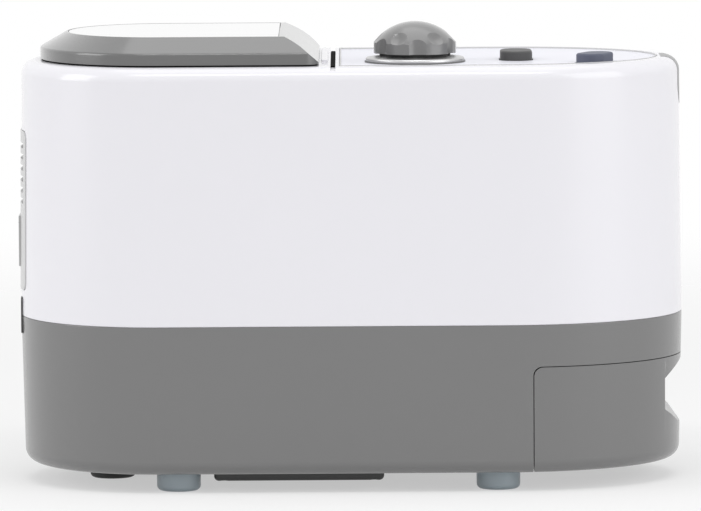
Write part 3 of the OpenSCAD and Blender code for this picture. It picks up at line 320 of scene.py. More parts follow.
PANEL_GAP = 0.15*MM                  # round a panel that is let in
SLOTS = 6
SLOT_TOP = SEAM_Z + 72*MM
SLOT_PITCH = 4.6*MM
SLOT_HALF = 15*MM
SLOT_H = 2.2*MM
SWITCH_HOLE = (6.7*MM, 9.7*MM)       # half its width and half its height
GROOVE = (-8*MM, -6*MM)              # from and to, across the top
GROOVE_DEPTH = 1.6*MM
CASE_SCREW_XS = (-40*MM, 42*MM)
CASE_SCREW_Y = 56.5*MM
TAB_SCREW_Y = 29*MM
MOUTH_UP = 13.5*MM                   # the recess's mouth over and under the sockets' axis
MOUTH_DOWN = 15*MM
SOCKET_R = 5.3*MM
LIP = ((4.96*MM, 0.43*MM), (2.4*MM, -0.3*MM))     # how far behind the nose, and the lip's shift


def rear_area(name, grow):
    """Prism of the rear panel's shape, standing across the rear end."""
    width, low, high = 38*MM, SEAM_Z + 11*MM, SEAM_Z + 77*MM
    piece = block(name, (REAR_X - 5*MM, -width/2 - grow, low - grow),
                  (REAR_X + 20*MM, width/2 + grow, high + grow))
    pick(piece, "EDGE", lambda e: abs(e.verts[0].co.x - e.verts[1].co.x) > MM)
    bpy.ops.mesh.bevel(offset=4*MM, segments=8)
    clear()
    return piece


def cut_rear_end(piece, grow):
    """Air slots and the switch's opening."""
    outside, inside = REAR_X - 10*MM, REAR_X + 15*MM
    for k in range(SLOTS):
        top = SLOT_TOP - k*SLOT_PITCH
        cut(piece, block("slot_cutter", (outside, -SLOT_HALF - grow, top - SLOT_H - grow),
                         (inside, SLOT_HALF + grow, top + grow)))
    half_y, half_z = SWITCH_HOLE
    cut(piece, block("switch_cutter", (outside, -half_y, SWITCH_Z - half_z),
                     (inside, half_y, SWITCH_Z + half_z)))


def cut_inlet(piece):
    """Opening and seat for the power inlet, across the seam."""
    for (width, height), end in ((INLET_FLANGE, INLET_SEAT), (INLET_BODY, INLET_SEAT + 10*MM)):
        half_y, half_z = width + INLET_GAP, height + INLET_GAP
        cut(piece, block("inlet_cutter", (REAR_X - 5*MM, -half_y, SEAM_Z - half_z),
                         (end, half_y, SEAM_Z + half_z)))


def cut_controls(piece):
    """Holes for the two buttons and for the knob's bush."""
    low, high = TOP_Z - HOLE_REACH, TOP_Z + HOLE_REACH
    for (width, length), at, turn in ((START_SIZE, START, 0), (MODE_SIZE, MODE, MODE_TURN)):
        cut(piece, pill("button_hole", width + 2*HOLE_GAP, length + 2*HOLE_GAP, low, high, at, turn))
    cut(piece, rod("bush_hole", BUSH_R, above(KNOB, low), above(KNOB, high)))


def upper_case():
    """White half: walls, seats of the rear panel and the film, groove and all its holes."""
    piece = walled(upper_form("upper_case", 0))
    pocket = closed(upper_form("pocket", -2*MM))
    cut(pocket, closed(upper_form("pocket_floor", 1.2*MM)))
    cut(pocket, rear_area("pocket_area", PANEL_GAP), "INTERSECT")
    cut(piece, pocket)
    cut(piece, panel_area("panel_seat", PANEL_GAP, TOP_Z - PANEL_DROP - 0.35*MM, TOP_Z + 3*MM))
    cut(piece, block("groove", (GROOVE[0], -70*MM, TOP_Z - GROOVE_DEPTH),
                     (GROOVE[1], 70*MM, TOP_Z + 3*MM)))
    cut_controls(piece)
    cut_rear_end(piece, 0.3*MM)
    cut_inlet(piece)
    finish(piece, 0.25*MM)
    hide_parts("upper_shell")
    return piece


def case_ledge():
    """Low ledge across the top, between the display and the groove."""
    piece = block("case_ledge", (-11.75*MM, -34*MM, TOP_Z - MM), (-9.05*MM, 34*MM, TOP_Z + 1.2*MM))
    return finish(piece, 0.3*MM)


def groove_seal():
    """Dark strip in the bottom of the groove."""
    side = 0.1*MM
    piece = block("groove_seal", (GROOVE[0] + side, -40*MM, TOP_Z - GROOVE_DEPTH),
                  (GROOVE[1] - side, 52*MM, TOP_Z - MM))
    return finish(piece, 0.2*MM)


def cap_zone(name, grow):
    """Region of the nose cap, grown by the parting gap."""
    left, top = CAP_X - grow, SEAM_Z - 17.5*MM + grow
    piece = block(name, (left, -HALF_W - 10*MM, -10*MM), (NOSE_X + 30*MM, HALF_W + 10*MM, top))
    pick(piece, "EDGE", lambda e: (centre(e) - Vector((left, 0, top))).length < EPS)
    bpy.ops.mesh.bevel(offset=3.7*MM, segments=8)
    clear()
    return piece


def lower_case():
    """Grey half with its openings, and the screw wells inside it."""
    piece = walled(lower_form("lower_case", 0))
    cut(piece, cap_zone("cap_cutter", PARTING))
    cut(piece, block("pan_opening", (-48*MM, -41*MM, BASE_Z - MM), (4*MM, 41*MM, BASE_Z + 5*MM)))
    wells = []
    for x in CASE_SCREW_XS:
        for y in (-CASE_SCREW_Y, CASE_SCREW_Y):
            cut(piece, rod("well_cutter", WELL_R, (x, y, BASE_Z - 5*MM), (x, y, BASE_Z + 5*MM)))
            wells.append(screw_well(x, y))
    tab_x = CAP_X - 7*MM
    for y in (-TAB_SCREW_Y, TAB_SCREW_Y):
        cut(piece, rod("tab_cutter", WELL_R, (tab_x, y, BASE_Z - 5*MM), (tab_x, y, BASE_Z + 1.6*MM)))
    cut_inlet(piece)
    finish(piece, 0.25*MM)
    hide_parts("lower_shell")
    return [piece] + wells


def screw_well(x, y):
    """Tube inside the lower case, open at the base, with the screw's seat at its end."""
    radius, wall, seat = 4.3*MM, 1.2*MM, SEAM_Z - 12*MM
    name = "screw_well.%03d_%03d" % (abs(x)/MM, y/MM + 100)
    piece = rod(name, radius, (x, y, BASE_Z + MM), (x, y, SEAM_Z - MM))
    pick(piece, "FACE", lambda f: f.normal.z < -0.9)
    bpy.ops.mesh.inset(thickness=wall)
    extrude(z=seat - BASE_Z - MM)
    bpy.ops.mesh.inset(thickness=radius - wall - PASS_R)
    extrude(z=11*MM)
    outwards(piece)
    return finish(piece, 0.15*MM)


def recess(name, grow):
    """Prism of the hose recess: upright back, flared mouth and a lower lip that rolls outwards."""
    half_y = 90*MM
    piece = block(name, (RECESS_BACK - grow, -half_y, PORT_Z - RECESS_HALF - grow),
                  (NOSE_X, half_y, PORT_Z + RECESS_HALF + grow))
    pick(piece, "VERT", lambda v: v.co.x > NOSE_X - EPS and v.co.z > PORT_Z)
    move(z=MOUTH_UP - RECESS_HALF)
    pick(piece, "VERT", lambda v: v.co.x > NOSE_X - EPS and v.co.z < PORT_Z)
    move(z=RECESS_HALF - MOUTH_DOWN)
    for back, shift in LIP:
        pick(piece, "FACE", lambda f: True)
        split(x=NOSE_X - back)
        pick(piece, "VERT", lambda v: abs(v.co.x - NOSE_X + back) < EPS and v.co.z < PORT_Z)
        move(z=shift)
    pick(piece, "FACE", lambda f: f.normal.x > 0.9)
    extrude(x=12*MM)
    outwards(piece)
    return piece


def nose_cap():
    """Grey cap of the nose, hollow behind its recess, with four port holes."""
    piece = closed(lower_form("nose_cap", 0))
    cut(piece, cap_zone("cap_area", 0), "INTERSECT")
    hollow = closed(lower_form("hollow", WALL))
    cut(hollow, cap_zone("hollow_area", 10*MM), "INTERSECT")
    cut(hollow, recess("recess_back", WALL))
    cut(piece, hollow)
    cut(piece, recess("recess_mouth", 0))
    for y in PORT_YS:
        cut(piece, rod("port_hole", SOCKET_R + 0.15*MM, (RECESS_BACK - 6*MM, y, PORT_Z),
                       (RECESS_BACK + 3*MM, y, PORT_Z)))
    finish(piece, 0.3*MM, 3)
    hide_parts("front_end_cap")
    return piece


def air_sockets():
    """Four sockets in the recess, with a rounded mouth and a stepped bore, on their plate."""
    half_y, half_z = 23.5*MM, 8.8*MM
    socket = rod("socket", SOCKET_R, (RECESS_BACK - 13*MM, 0, PORT_Z), (RECESS_BACK, 0, PORT_Z), 96)
    pick(socket, "FACE", lambda f: f.normal.x > 0.9)
    bpy.ops.mesh.inset(thickness=1.3*MM)
    extrude(x=-11*MM)
    bpy.ops.mesh.inset(thickness=2.4*MM)
    extrude(x=-MM)
    clear()
    finish(socket, 0.25*MM, 3)
    copies = [copied(socket, y=y) for y in PORT_YS[1:]]
    take(socket)
    socket.location.y = PORT_YS[0]
    bpy.ops.object.transform_apply(location=True)
    plate = block("plate", (RECESS_BACK - 5.5*MM, -half_y, PORT_Z - half_z),
                  (RECESS_BACK - 2.5*MM, half_y, PORT_Z + half_z))
    piece = joined("air_sockets", [socket] + copies + [finish(plate, 0.3*MM)])
    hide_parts("port_block")
    return piece


def rear_cover():
    """Light panel that follows the rear end, with its slots and the switch's opening."""
    piece = closed(upper_form("rear_cover", -0.4*MM))
    cut(piece, closed(upper_form("cover_back", 1.2*MM)))
    cut(piece, rear_area("cover_area", 0), "INTERSECT")
    cut_rear_end(piece, 0)
    finish(piece, 0.2*MM)
    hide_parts("rear_panel")
    return piece


# ---------- display ----------

HOUSING_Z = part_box("display_housing")[1].z
TOE_X = -12.8*MM
BAND_H = 5.4*MM
HOUSING_A = REAR_L - UPPER_DRAFT - 7.9*MM
HOUSING_B = HALF_W - UPPER_DRAFT - 6*MM
LENS_A = HOUSING_A - 10.8*MM
LENS_B = HOUSING_B - 12*MM
LENS_EDGE = -28.2*MM
LENS_T = 1.2*MM
# height of the dark strip of painted shadow under the display housing, which stands on it
SHADE_LINE_T = 0.7*MM


def rounded_end_face(name, length, half, front, corner, z):
    """Flat D-shaped face: half an ellipse at the rear and a straight front with round corners."""
    clear()
    bpy.ops.mesh.primitive_circle_add(vertices=RING, radius=1)
    piece = added(name)
    pick(piece, "VERT", lambda v: v.co.x > EPS)
    bpy.ops.mesh.delete(type="VERT")
    pick(piece, "VERT", lambda v: True)
    resize(length, half, 1, (0, 0, 0))
    move(REAR_CX, 0, z)
    pick(piece, "VERT", lambda v: len(v.link_edges) == 1)
    extrude(x=front - REAR_CX)
    pick(piece, "VERT", lambda v: True)
    bpy.ops.mesh.edge_face_add()
    if corner:
        pick(piece, "VERT", lambda v: abs(v.co.x - front) < EPS)
        bpy.ops.mesh.bevel(offset=corner, segments=10, affect="VERTICES")
    pick(piece, "FACE", lambda f: True)
    bpy.ops.mesh.normals_make_consistent(inside=False)
    mesh = bmesh.from_edit_mesh(piece.data)
    if any(f.normal.z < 0 for f in mesh.faces):
        bpy.ops.mesh.flip_normals()
    return piece


def lens_form(name, inset, low, high):
    """Prism of the lens's shape, drawn in by an inset."""
    piece = rounded_end_face(name, LENS_A - inset, LENS_B - inset, LENS_EDGE - inset, 0.8*MM, low)
    extrude(z=high - low)
    outwards(closed(piece))
    return piece


def slope_cutter():
    """Block whose lower face runs down from the lens to the toe in a gentle arch."""
    toe, crest = TOP_Z + 1.4*MM, HOUSING_Z + 0.02*MM
    start, run = LENS_EDGE + 1.2*MM, TOE_X - LENS_EDGE - 1.2*MM
    steps, arch = 8, 1.1*MM
    piece = block("slope_cutter", (start, -80*MM, crest), (TOE_X, 80*MM, TOP_Z + 40*MM))
    for k in range(1, steps):
        pick(piece, "FACE", lambda f: True)
        split(x=start + run*k/steps)
    for k in range(1, steps + 1):
        x = start + run*k/steps
        pick(piece, "VERT", lambda v: abs(v.co.x - x) < EPS and v.co.z < crest + MM)
        move(z=(toe - crest)*k/steps + arch*sin(pi*k/steps))
    pick(piece, "FACE", lambda f: f.normal.x > 0.9)
    extrude(x=10*MM)
    outwards(piece)
    return piece


def display_housing():
    """Raised housing: upright band, slopes all round, and a long slope down to its toe."""
    piece = rounded_end_face("display_case", HOUSING_A, HOUSING_B, TOE_X, 7*MM, TOP_Z + SHADE_LINE_T)
    extrude(z=BAND_H - SHADE_LINE_T)
    extrude(z=HOUSING_Z - TOP_Z - BAND_H)
    resize(1, LENS_B/HOUSING_B, 1, (0, 0, HOUSING_Z))
    pick(piece, "VERT", lambda v: v.co.z > HOUSING_Z - EPS and v.co.x < REAR_CX + EPS)
    resize(LENS_A/HOUSING_A, 1, 1, (REAR_CX, 0, HOUSING_Z))
    closed(piece)
    cut(piece, slope_cutter())
    pick(piece, "EDGE", lambda e: all(abs(v.co.z - TOP_Z - BAND_H) < EPS for v in e.verts))
    bpy.ops.mesh.bevel(offset=0.8*MM, segments=4)
    clear()
    cut(piece, lens_form("lens_pocket", 0.8*MM, HOUSING_Z - LENS_T, HOUSING_Z + MM))
    finish(piece, 0.3*MM, 3, 18)
    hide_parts("display_housing")
    return piece


def housing_shade_line():
    """Dark strip of painted shadow that shows as a line under the display housing, where the gap under
    it lies in shade.
    """
    inset = 0.5*MM
    piece = rounded_end_face("housing_shade_line", HOUSING_A - inset, HOUSING_B - inset, TOE_X - inset,
                             6.5*MM, TOP_Z - 0.3*MM)
    extrude(z=SHADE_LINE_T + 0.5*MM)
    return finish(closed(piece), 0.1*MM)


def display_window():
    """Smooth pane in the housing's pocket, pale as painted reflection of the white surroundings, besides
    its coat's own reflection.
    """
    piece = lens_form("display_window", 1.05*MM, HOUSING_Z - LENS_T + 0.1*MM, HOUSING_Z - 0.05*MM)
    finish(piece, 0.2*MM)
    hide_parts("display_lens")
    return piece


# ---------- controls ----------

PANEL_DROP = 0.45*MM                 # how far the film lies below the top


def panel_area(name, grow, low, high):
    """Prism of the control panel's shape, grown by a clearance."""
    piece = outline_face(name, UPPER_DRAFT + 9*MM - grow, low)
    pick(piece, "FACE", lambda f: True)
    split(x=-4.3*MM - grow, across=(-1, 0, 0), clear_outer=True)
    pick(piece, "FACE", lambda f: True)
    extrude(z=high - low)
    return closed(piece)


def panel_film():
    """Film under the controls, let in to the top."""
    piece = panel_area("panel_film", 0, TOP_Z - PANEL_DROP - 0.4*MM, TOP_Z - PANEL_DROP)
    cut_controls(piece)
    finish(piece, 0.12*MM)
    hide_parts("control_panel")
    return piece


def panel_frame():
    """Thin grey frame round the film."""
    piece = panel_area("panel_frame", -0.02*MM, TOP_Z - PANEL_DROP - 0.2*MM, TOP_Z + 0.2*MM)
    cut(piece, panel_area("frame_inner", -0.6*MM, TOP_Z - MM, TOP_Z + MM))
    return finish(piece, 0.1*MM)


def push_button(name, node, size, at, turn):
    """Pill-shaped cap with a soft upper edge, its flange and its stem."""
    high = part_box(node)[1].z
    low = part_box(node)[0].z
    width, length = size
    flange_low, flange_high, flange_rim = TOP_Z - 4.4*MM, TOP_Z - 2.8*MM, 3*MM
    cap = pill(name, width, length, flange_low, high, at, turn)
    pick(cap, "EDGE", lambda e: all(v.co.z > high - EPS for v in e.verts))
    bpy.ops.mesh.bevel(offset=0.9*MM, segments=5)
    flange = pill("flange", width + flange_rim, length + flange_rim, flange_low, flange_high, at, turn)
    stem = rod("stem", 1.5*MM, above(at, low), above(at, TOP_Z - 4*MM))
    piece = joined(name, [finish(cap, 0.15*MM), finish(flange, 0.2*MM), finish(stem)])
    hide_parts(node)
    return piece


KNOB_R = 17*MM
KNOB_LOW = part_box("knob_collar")[1].z + 1.7*MM
KNOB_SIDE = 4.4*MM
DOME_H = 8.6*MM
DOME_R = (KNOB_R**2 + DOME_H**2)/(2*DOME_H)
GRIPS = 6
GRIP_R = 6.2*MM
GRIP_DEPTH = 1.6*MM
GRIP_TURN = radians(-86.5)


def grip_knob():
    """Domed knob: a cap of a sphere on an upright side, six grips and a scoop between each pair."""
    side_top = KNOB_LOW + KNOB_SIDE
    ball = above(KNOB, side_top + DOME_H - DOME_R)
    clear()
    bpy.ops.mesh.primitive_uv_sphere_add(segments=128, ring_count=96, radius=DOME_R, location=ball)
    piece = added("grip_knob")
    pick(piece, "FACE", lambda f: True)
    split(z=side_top, across=(0, 0, -1), clear_outer=True)
    pick(piece, "EDGE", lambda e: e.is_boundary)
    extrude(z=-KNOB_SIDE)
    closed(piece)
    reach = KNOB_R - GRIP_DEPTH + GRIP_R
    for k in range(GRIPS):
        turn = GRIP_TURN + k*2*pi/GRIPS
        at = KNOB + Vector((reach*cos(turn), reach*sin(turn), 0))
        cut(piece, rod("grip_cutter", GRIP_R, above(at, KNOB_LOW - 2*MM),
                       above(at, side_top + DOME_H), 160))
        cut(piece, scoop(ball, turn + pi/GRIPS))
    finish(piece, 0.8*MM, 4, 20)
    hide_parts("pressure_knob")
    return piece


def knob_hub():
    """Hub that carries the knob clear of the ring, black as painted shadow for the shaded gap under the
    knob.
    """
    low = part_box("pressure_knob")[0].z
    piece = rod("knob_hub", 14.6*MM, above(KNOB, low), above(KNOB, KNOB_LOW + MM), 128)
    pick(piece, "FACE", lambda f: f.normal.z < -0.9)
    bpy.ops.mesh.inset(thickness=2*MM)
    extrude(z=MM)
    clear()
    finish(piece, 0.15*MM)
    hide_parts("pressure_knob")
    return piece


def scoop(ball, turn):
    """Ball that scoops a shallow hollow out of the dome between two grips."""
    radius, depth, reach = 11*MM, 0.9*MM, 15.2*MM
    rise = (DOME_R**2 - reach**2)**0.5
    normal = Vector((reach*cos(turn), reach*sin(turn), rise))/DOME_R
    clear()
    bpy.ops.mesh.primitive_uv_sphere_add(segments=64, ring_count=48, radius=radius,
                                         location=ball + normal*(DOME_R + radius - depth))
    return added("scoop_cutter")


def knob_ring():
    """Seat with a silver ring set in it, under the knob; the seat is dark as painted shadow, for the
    dark line round the ring's foot.
    """
    low, high = TOP_Z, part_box("knob_collar")[1].z
    seat_r, bush_r, ring_r = 20.8*MM, 12*MM, 20.4*MM
    foot_z = low - 4*MM
    seat = rod("ring_seat", seat_r, above(KNOB, foot_z), above(KNOB, low + 0.15*MM), 192)
    pick(seat, "FACE", lambda f: abs(f.normal.z) < 0.5)
    split(z=low - PANEL_DROP, across=(0, 0, 1))
    pick(seat, "VERT", lambda v: v.co.z < low - MM)
    resize(bush_r/seat_r, bush_r/seat_r, 1, above(KNOB, foot_z))
    clear()
    ring = rod("silver_ring", ring_r, above(KNOB, low + 0.1*MM), above(KNOB, high), 192)
    pick(ring, "EDGE", lambda e: all(v.co.z > high - EPS for v in e.verts))
    bpy.ops.mesh.bevel(offset=0.9*MM, segments=6)
    pick(ring, "FACE", lambda f: f.normal.z > 0.99)
    bpy.ops.mesh.inset(thickness=7.5*MM)
    extrude(z=-0.1*MM)
    clear()
    for piece in (seat, ring):
        finish(piece, 0.15*MM)
    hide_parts("knob_collar")
    return seat, ring


def label_strip():
    """Thin strip over the shoulder of the nose, with a round lower end."""
    width, drop, start = 20*MM, 20*MM, NOSE_X - UPPER_DRAFT - 7.8*MM
    piece = closed(upper_form("label_strip", -0.2*MM))
    cut(piece, closed(upper_form("strip_back", 0.3*MM)))
    area = block("strip_area", (start, -width/2, TOP_Z - drop), (NOSE_X + 10*MM, width/2, TOP_Z + 5*MM))
    pick(area, "EDGE", lambda e: all(v.co.z < TOP_Z - drop + EPS for v in e.verts)
         and abs(e.verts[0].co.x - e.verts[1].co.x) > MM)
    bpy.ops.mesh.bevel(offset=9.8*MM, segments=16)
    clear()
    cut(piece, area, "INTERSECT")
    finish(piece, 0.15*MM)
    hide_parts("nose_strip")
    return piece


# ---------- rear end ----------

ROCKER_X = -132.8975*MM              # the rocker's pivot
ROCKER_TIP = radians(6)


def power_switch():
    """Frame of the rocker switch."""
    half_y, half_z = 7.5*MM, 10.5*MM
    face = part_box("switch_frame")[0].x
    frame_piece = block("switch_bezel", (face, -half_y, SWITCH_Z - half_z),
                        (face + 15*MM, half_y, SWITCH_Z + half_z))
    pick(frame_piece, "FACE", lambda f: f.normal.x < -0.9)
    bpy.ops.mesh.inset(thickness=1.7*MM)
    pick(frame_piece, "FACE", lambda f: f.normal.x < -0.9 and abs(centre(f).y) < EPS
         and f.calc_area() > 0.00015)
    extrude(x=10*MM)
    clear()
    finish(frame_piece, 0.3*MM, 3)
    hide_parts("switch_frame")
    return frame_piece


def rocker():
    """Rocker with a dished face, tipped to its off side."""
    pivot = Vector((ROCKER_X, 0, SWITCH_Z))
    face, step = pivot.x - 4*MM, 3*MM
    piece = block("rocker", pivot + Vector((-4.6, -5, -8.5))*MM, pivot + Vector((1.5, 5, 8.5))*MM)
    for k in (-1, 0, 1):
        pick(piece, "FACE", lambda f: True)
        split(z=pivot.z + k*step, across=(0, 0, 1))
    pick(piece, "VERT", lambda v: v.co.x < face and abs(v.co.z - pivot.z) < MM)
    move(x=0.9*MM)
    pick(piece, "VERT", lambda v: v.co.x < face and abs(abs(v.co.z - pivot.z) - step) < EPS)
    move(x=0.5*MM)
    pick(piece, "FACE", lambda f: True)
    bpy.ops.transform.rotate(value=ROCKER_TIP, orient_axis="Y", center_override=pivot)
    clear()
    finish(piece, 0.4*MM, 3, 25)
    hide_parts("power_rocker")
    return piece


def power_socket():
    """Mains inlet: flange with a figure-of-eight cavity."""
    low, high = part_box("power_inlet")
    half_y, half_z = INLET_FLANGE
    piece = block("power_socket", (low.x, -half_y, SEAM_Z - half_z),
                  (INLET_SEAT, half_y, SEAM_Z + half_z))
    pick(piece, "EDGE", lambda e: abs(e.verts[0].co.x - e.verts[1].co.x) > MM)
    bpy.ops.mesh.bevel(offset=2*MM, segments=6)
    clear()
    half_y, half_z = INLET_BODY
    cut(piece, block("inner", (INLET_SEAT - EPS, -half_y, SEAM_Z - half_z),
                     (high.x, half_y, SEAM_Z + half_z)), "UNION")
    outside, deep = low.x - MM, low.x + 13*MM
    lobe_r, lobe_y = 4.2*MM, 3.7*MM
    for y in (-lobe_y, lobe_y):
        cut(piece, rod("lobe_cutter", lobe_r, (outside, y, SEAM_Z), (deep, y, SEAM_Z)))
    cut(piece, block("web_cutter", (outside, -lobe_y, SEAM_Z - lobe_r), (deep, lobe_y, SEAM_Z + lobe_r)))
    finish(piece, 0.25*MM)
    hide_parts("power_inlet")
    return piece


# ---------- underside ----------

def foot(name, radius, x, y):
    """Round soft foot with a rolled edge and a screw well."""
    piece = rod(name, radius, (x, y, 0), (x, y, BASE_Z), 96)
    pick(piece, "EDGE", lambda e: all(v.co.z < EPS for v in e.verts))
    bpy.ops.mesh.bevel(offset=2*MM, segments=6)
    clear()
    cut(piece, rod("well_cutter", WELL_R, (x, y, -MM), (x, y, 3.6*MM), 48))
    cut(piece, rod("pass_cutter", PASS_R, (x, y, -MM), (x, y, BASE_Z + MM), 48))
    return finish(piece, 0.2*MM)


def feet():
    """Four soft feet as one piece, and the stand under the rear end."""
    xs, ys = (-71.5*MM, CAP_X - 14.5*MM), (-46*MM, 46*MM)
    four = [foot("foot_cast", 9*MM, x, y) for x in xs for y in ys]
    piece = joined("soft_feet", four)
    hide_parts("rubber_feet")
    rear = foot("rear_stand", 9.5*MM, -100*MM, 0)
    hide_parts("rear_foot")
    return piece, rear


def bottom_pan():
    """Pan under the compressor, rounded along its lower edges, with four screw wells."""
    low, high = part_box("base_pan")
    piece = block("bottom_pan", low, high)
    pick(piece, "EDGE", lambda e: any(v.co.z < low.z + EPS for v in e.verts))
    bpy.ops.mesh.bevel(offset=2*MM, segments=6)
    clear()
    corner = 4.15*MM
    for x in (low.x + corner, high.x - corner):
        for y in (low.y + corner, high.y - corner):
            cut(piece, rod("well_cutter", WELL_R, (x, y, low.z - MM), (x, y, low.z + 1.9*MM)))
            cut(piece, rod("pass_cutter", PASS_R, (x, y, low.z - MM), (x, y, high.z + MM)))
    finish(piece, 0.15*MM)
    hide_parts("base_pan")
    return piece


# ---------- materials ----------

DRIFT_SCALE = 18                     # slow drift of colour and gloss over a piece
GLOSS_SPREAD = 0.15
RELIEF = 0.0002


def noise(nodes, links, place, scale, detail):
    """Noise over a piece's own coordinates."""
    texture = nodes.new("ShaderNodeTexNoise")
    texture.inputs["Scale"].default_value = scale
    texture.inputs["Detail"].default_value = detail
    links.new(place.outputs["Object"], texture.inputs["Vector"])
    return texture.outputs["Fac"]


def surface(name, colour, roughness, bump=0.02, grain=900, tint=0.03, **sockets):
    """Moulded or worked surface: a fine grain, a slow drift of colour and uneven gloss."""
    material = bpy.data.materials.new(name)
    material.use_nodes = True
    nodes, links = material.node_tree.nodes, material.node_tree.links
    shader = nodes["Principled BSDF"]
    place = nodes.new("ShaderNodeTexCoord")
    drift = noise(nodes, links, place, DRIFT_SCALE, 3)
    shade = nodes.new("ShaderNodeMix")
    shade.data_type = "RGBA"
    shade.inputs[6].default_value = (*[c*(1 - tint) for c in colour], 1)
    shade.inputs[7].default_value = (*[min(1, c*(1 + tint)) for c in colour], 1)
    links.new(drift, shade.inputs[0])
    links.new(shade.outputs[2], shader.inputs["Base Color"])
    gloss = nodes.new("ShaderNodeMapRange")
    gloss.inputs["To Min"].default_value = roughness*(1 - GLOSS_SPREAD)
    gloss.inputs["To Max"].default_value = roughness*(1 + GLOSS_SPREAD)
    links.new(drift, gloss.inputs["Value"])
    links.new(gloss.outputs["Result"], shader.inputs["Roughness"])
    relief = nodes.new("ShaderNodeBump")
    relief.inputs["Strength"].default_value = bump
    relief.inputs["Distance"].default_value = RELIEF
    links.new(noise(nodes, links, place, grain, 2), relief.inputs["Height"])
    links.new(relief.outputs["Normal"], shader.inputs["Normal"])
    for socket, value in sockets.items():
        shader.inputs[socket.replace("_", " ")].default_value = value
    return material


def grey(level):
    """Linear grey for a level of 0 to 255 as a screen shows it."""
    return (((level/255 + 0.055)/1.055)**2.4,)*3


def tone(red, green, blue):
    """Linear colour for three levels as a screen shows them."""
    return tuple(grey(level)[0] for level in (red, green, blue))


case_white = surface("case_white", tone(235, 234, 239), 0.22, 0.01, 500, 0.006, Coat_Weight=0.3)
case_grey = surface("case_grey", grey(119), 0.25, 0.03, 1200, 0.012, Coat_Weight=0.2)
display_grey = surface("display_grey", grey(99), 0.25, 0.02, 1000, 0.015, Coat_Weight=0.8,
                       Coat_Roughness=0.12)
# pale grey as painted reflection of the white surroundings on the lens; its coat reflects as well
window_painted_reflection = surface("window_painted_reflection", grey(202), 0.06, 0.0, 200, 0.004, Coat_Weight=1.0)
film_pale = surface("film_pale", tone(238, 238, 246), 0.4, 0.05, 1500, 0.008)
strip_grey = surface("strip_grey", grey(158), 0.4, 0.03, 1500, 0.02)
silver = surface("silver", grey(196), 0.36, 0.04, 1800, 0.02, Metallic=1.0)
# dark grey of the display module, and painted shadow on the seat round the knob's ring
module_and_shade_dark = surface("module_and_shade_dark", grey(105), 0.4, 0.03, 1200, 0.02)
knob_grey = surface("knob_grey", grey(98), 0.3, 0.03, 1600, 0.02, Specular_IOR_Level=0.9,
                    Coat_Weight=1.0, Coat_Roughness=0.2)
button_grey = surface("button_grey", grey(82), 0.5, 0.04, 1800, 0.03, Specular_IOR_Level=0.25)
button_blue = surface("button_blue", tone(92, 96, 112), 0.5, 0.04, 1800, 0.03, Specular_IOR_Level=0.25)
cover_grey = surface("cover_grey", grey(205), 0.35, 0.05, 1300, 0.01)
switch_pale = surface("switch_pale", grey(176), 0.3, 0.02, 900, 0.02)
switch_black = surface("switch_black", grey(28), 0.25, 0.02, 900, 0.05)
pan_dark = surface("pan_dark", grey(62), 0.45, 0.06, 1100, 0.03)
foot_clear = surface("foot_clear", tone(178, 190, 197), 0.35, 0.03, 700, 0.03, Transmission_Weight=0.25)
# painted shade: the rear stand is coloured dark for the shade it stands in under the body
foot_painted_shade = surface("foot_painted_shade", grey(58), 0.6, 0.08, 1000, 0.04)
socket_dark = surface("socket_dark", grey(72), 0.4, 0.04, 1200, 0.02)
screw_steel = surface("screw_steel", grey(190), 0.3, 0.03, 1500, 0.04, Metallic=1.0)
copper = surface("copper", tone(190, 120, 70), 0.35, 0.3, 700, 0.05, Metallic=1.0)
core_iron = surface("core_iron", grey(95), 0.5, 0.2, 600, 0.05, Metallic=0.6)
board_green = surface("board_green", tone(30, 95, 62), 0.4, 0.05, 900, 0.04)
natural_white = surface("natural_white", tone(225, 225, 218), 0.45, 0.05, 900, 0.02)
hose_clear = surface("hose_clear", tone(215, 220, 222), 0.25, 0.02, 500, 0.02, Transmission_Weight=0.5)
foam_grey = surface("foam_grey", grey(150), 0.9, 0.8, 900, 0.1)
frame_grey = surface("frame_grey", grey(205), 0.5, 0.03, 1200, 0.02)
# black of the groove's seal, and painted shadow on the strip under the display housing
seal_and_shade_black = surface("seal_and_shade_black", grey(24), 0.9, 0.05, 900, 0.05, Specular_IOR_Level=0.05)
# black rubber of the compressor's mounts, and painted shadow on the knob's hub
rubber_and_shade_black = surface("rubber_and_shade_black", grey(38), 0.7, 0.1, 900, 0.05)
brass = surface("brass", tone(200, 180, 110), 0.25, 0.02, 900, 0.03, Metallic=1.0)
sleeve_blue = surface("sleeve_blue", tone(45, 55, 90), 0.35, 0.03, 700, 0.04)

NODE_FINISHES = {
    "display_module": module_and_shade_dark, "potentiometer_shaft": screw_steel, "potentiometer_body": socket_dark,
    "tact_switches": switch_black, "control_board": board_green, "inlet_pins": brass,
    "intake_filter": foam_grey, "base_screws": screw_steel, "case_screws": screw_steel,
    "board_screws": screw_steel, "transformer_core": core_iron, "transformer_coil": copper,
    "main_board": board_green, "board_capacitors": sleeve_blue, "heat_sink": screw_steel,
    "fuse": natural_white, "compressor_mounts": rubber_and_shade_black, "compressor_frame": screw_steel,
    "magnet_cores": core_iron, "drive_coils": copper, "pump_heads": natural_white,
    "intake_silencers": natural_white, "armature": screw_steel, "armature_magnets": core_iron,
    "supply_hoses": hose_clear, "hose_tee": natural_white, "valve_block": natural_white,
    "valve_cover": screw_steel, "valve_rotor": natural_white, "valve_motor": screw_steel,
    "pressure_sensor": switch_black, "outlet_hoses": hose_clear}


def wear(piece, material, body="case"):
    """Gives a piece its one material and its body."""
    piece.data.materials.clear()
    piece.data.materials.append(material)
    for polygon in piece.data.polygons:
        polygon.material_index = 0
    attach(piece, body)


# ---------- assembly ----------

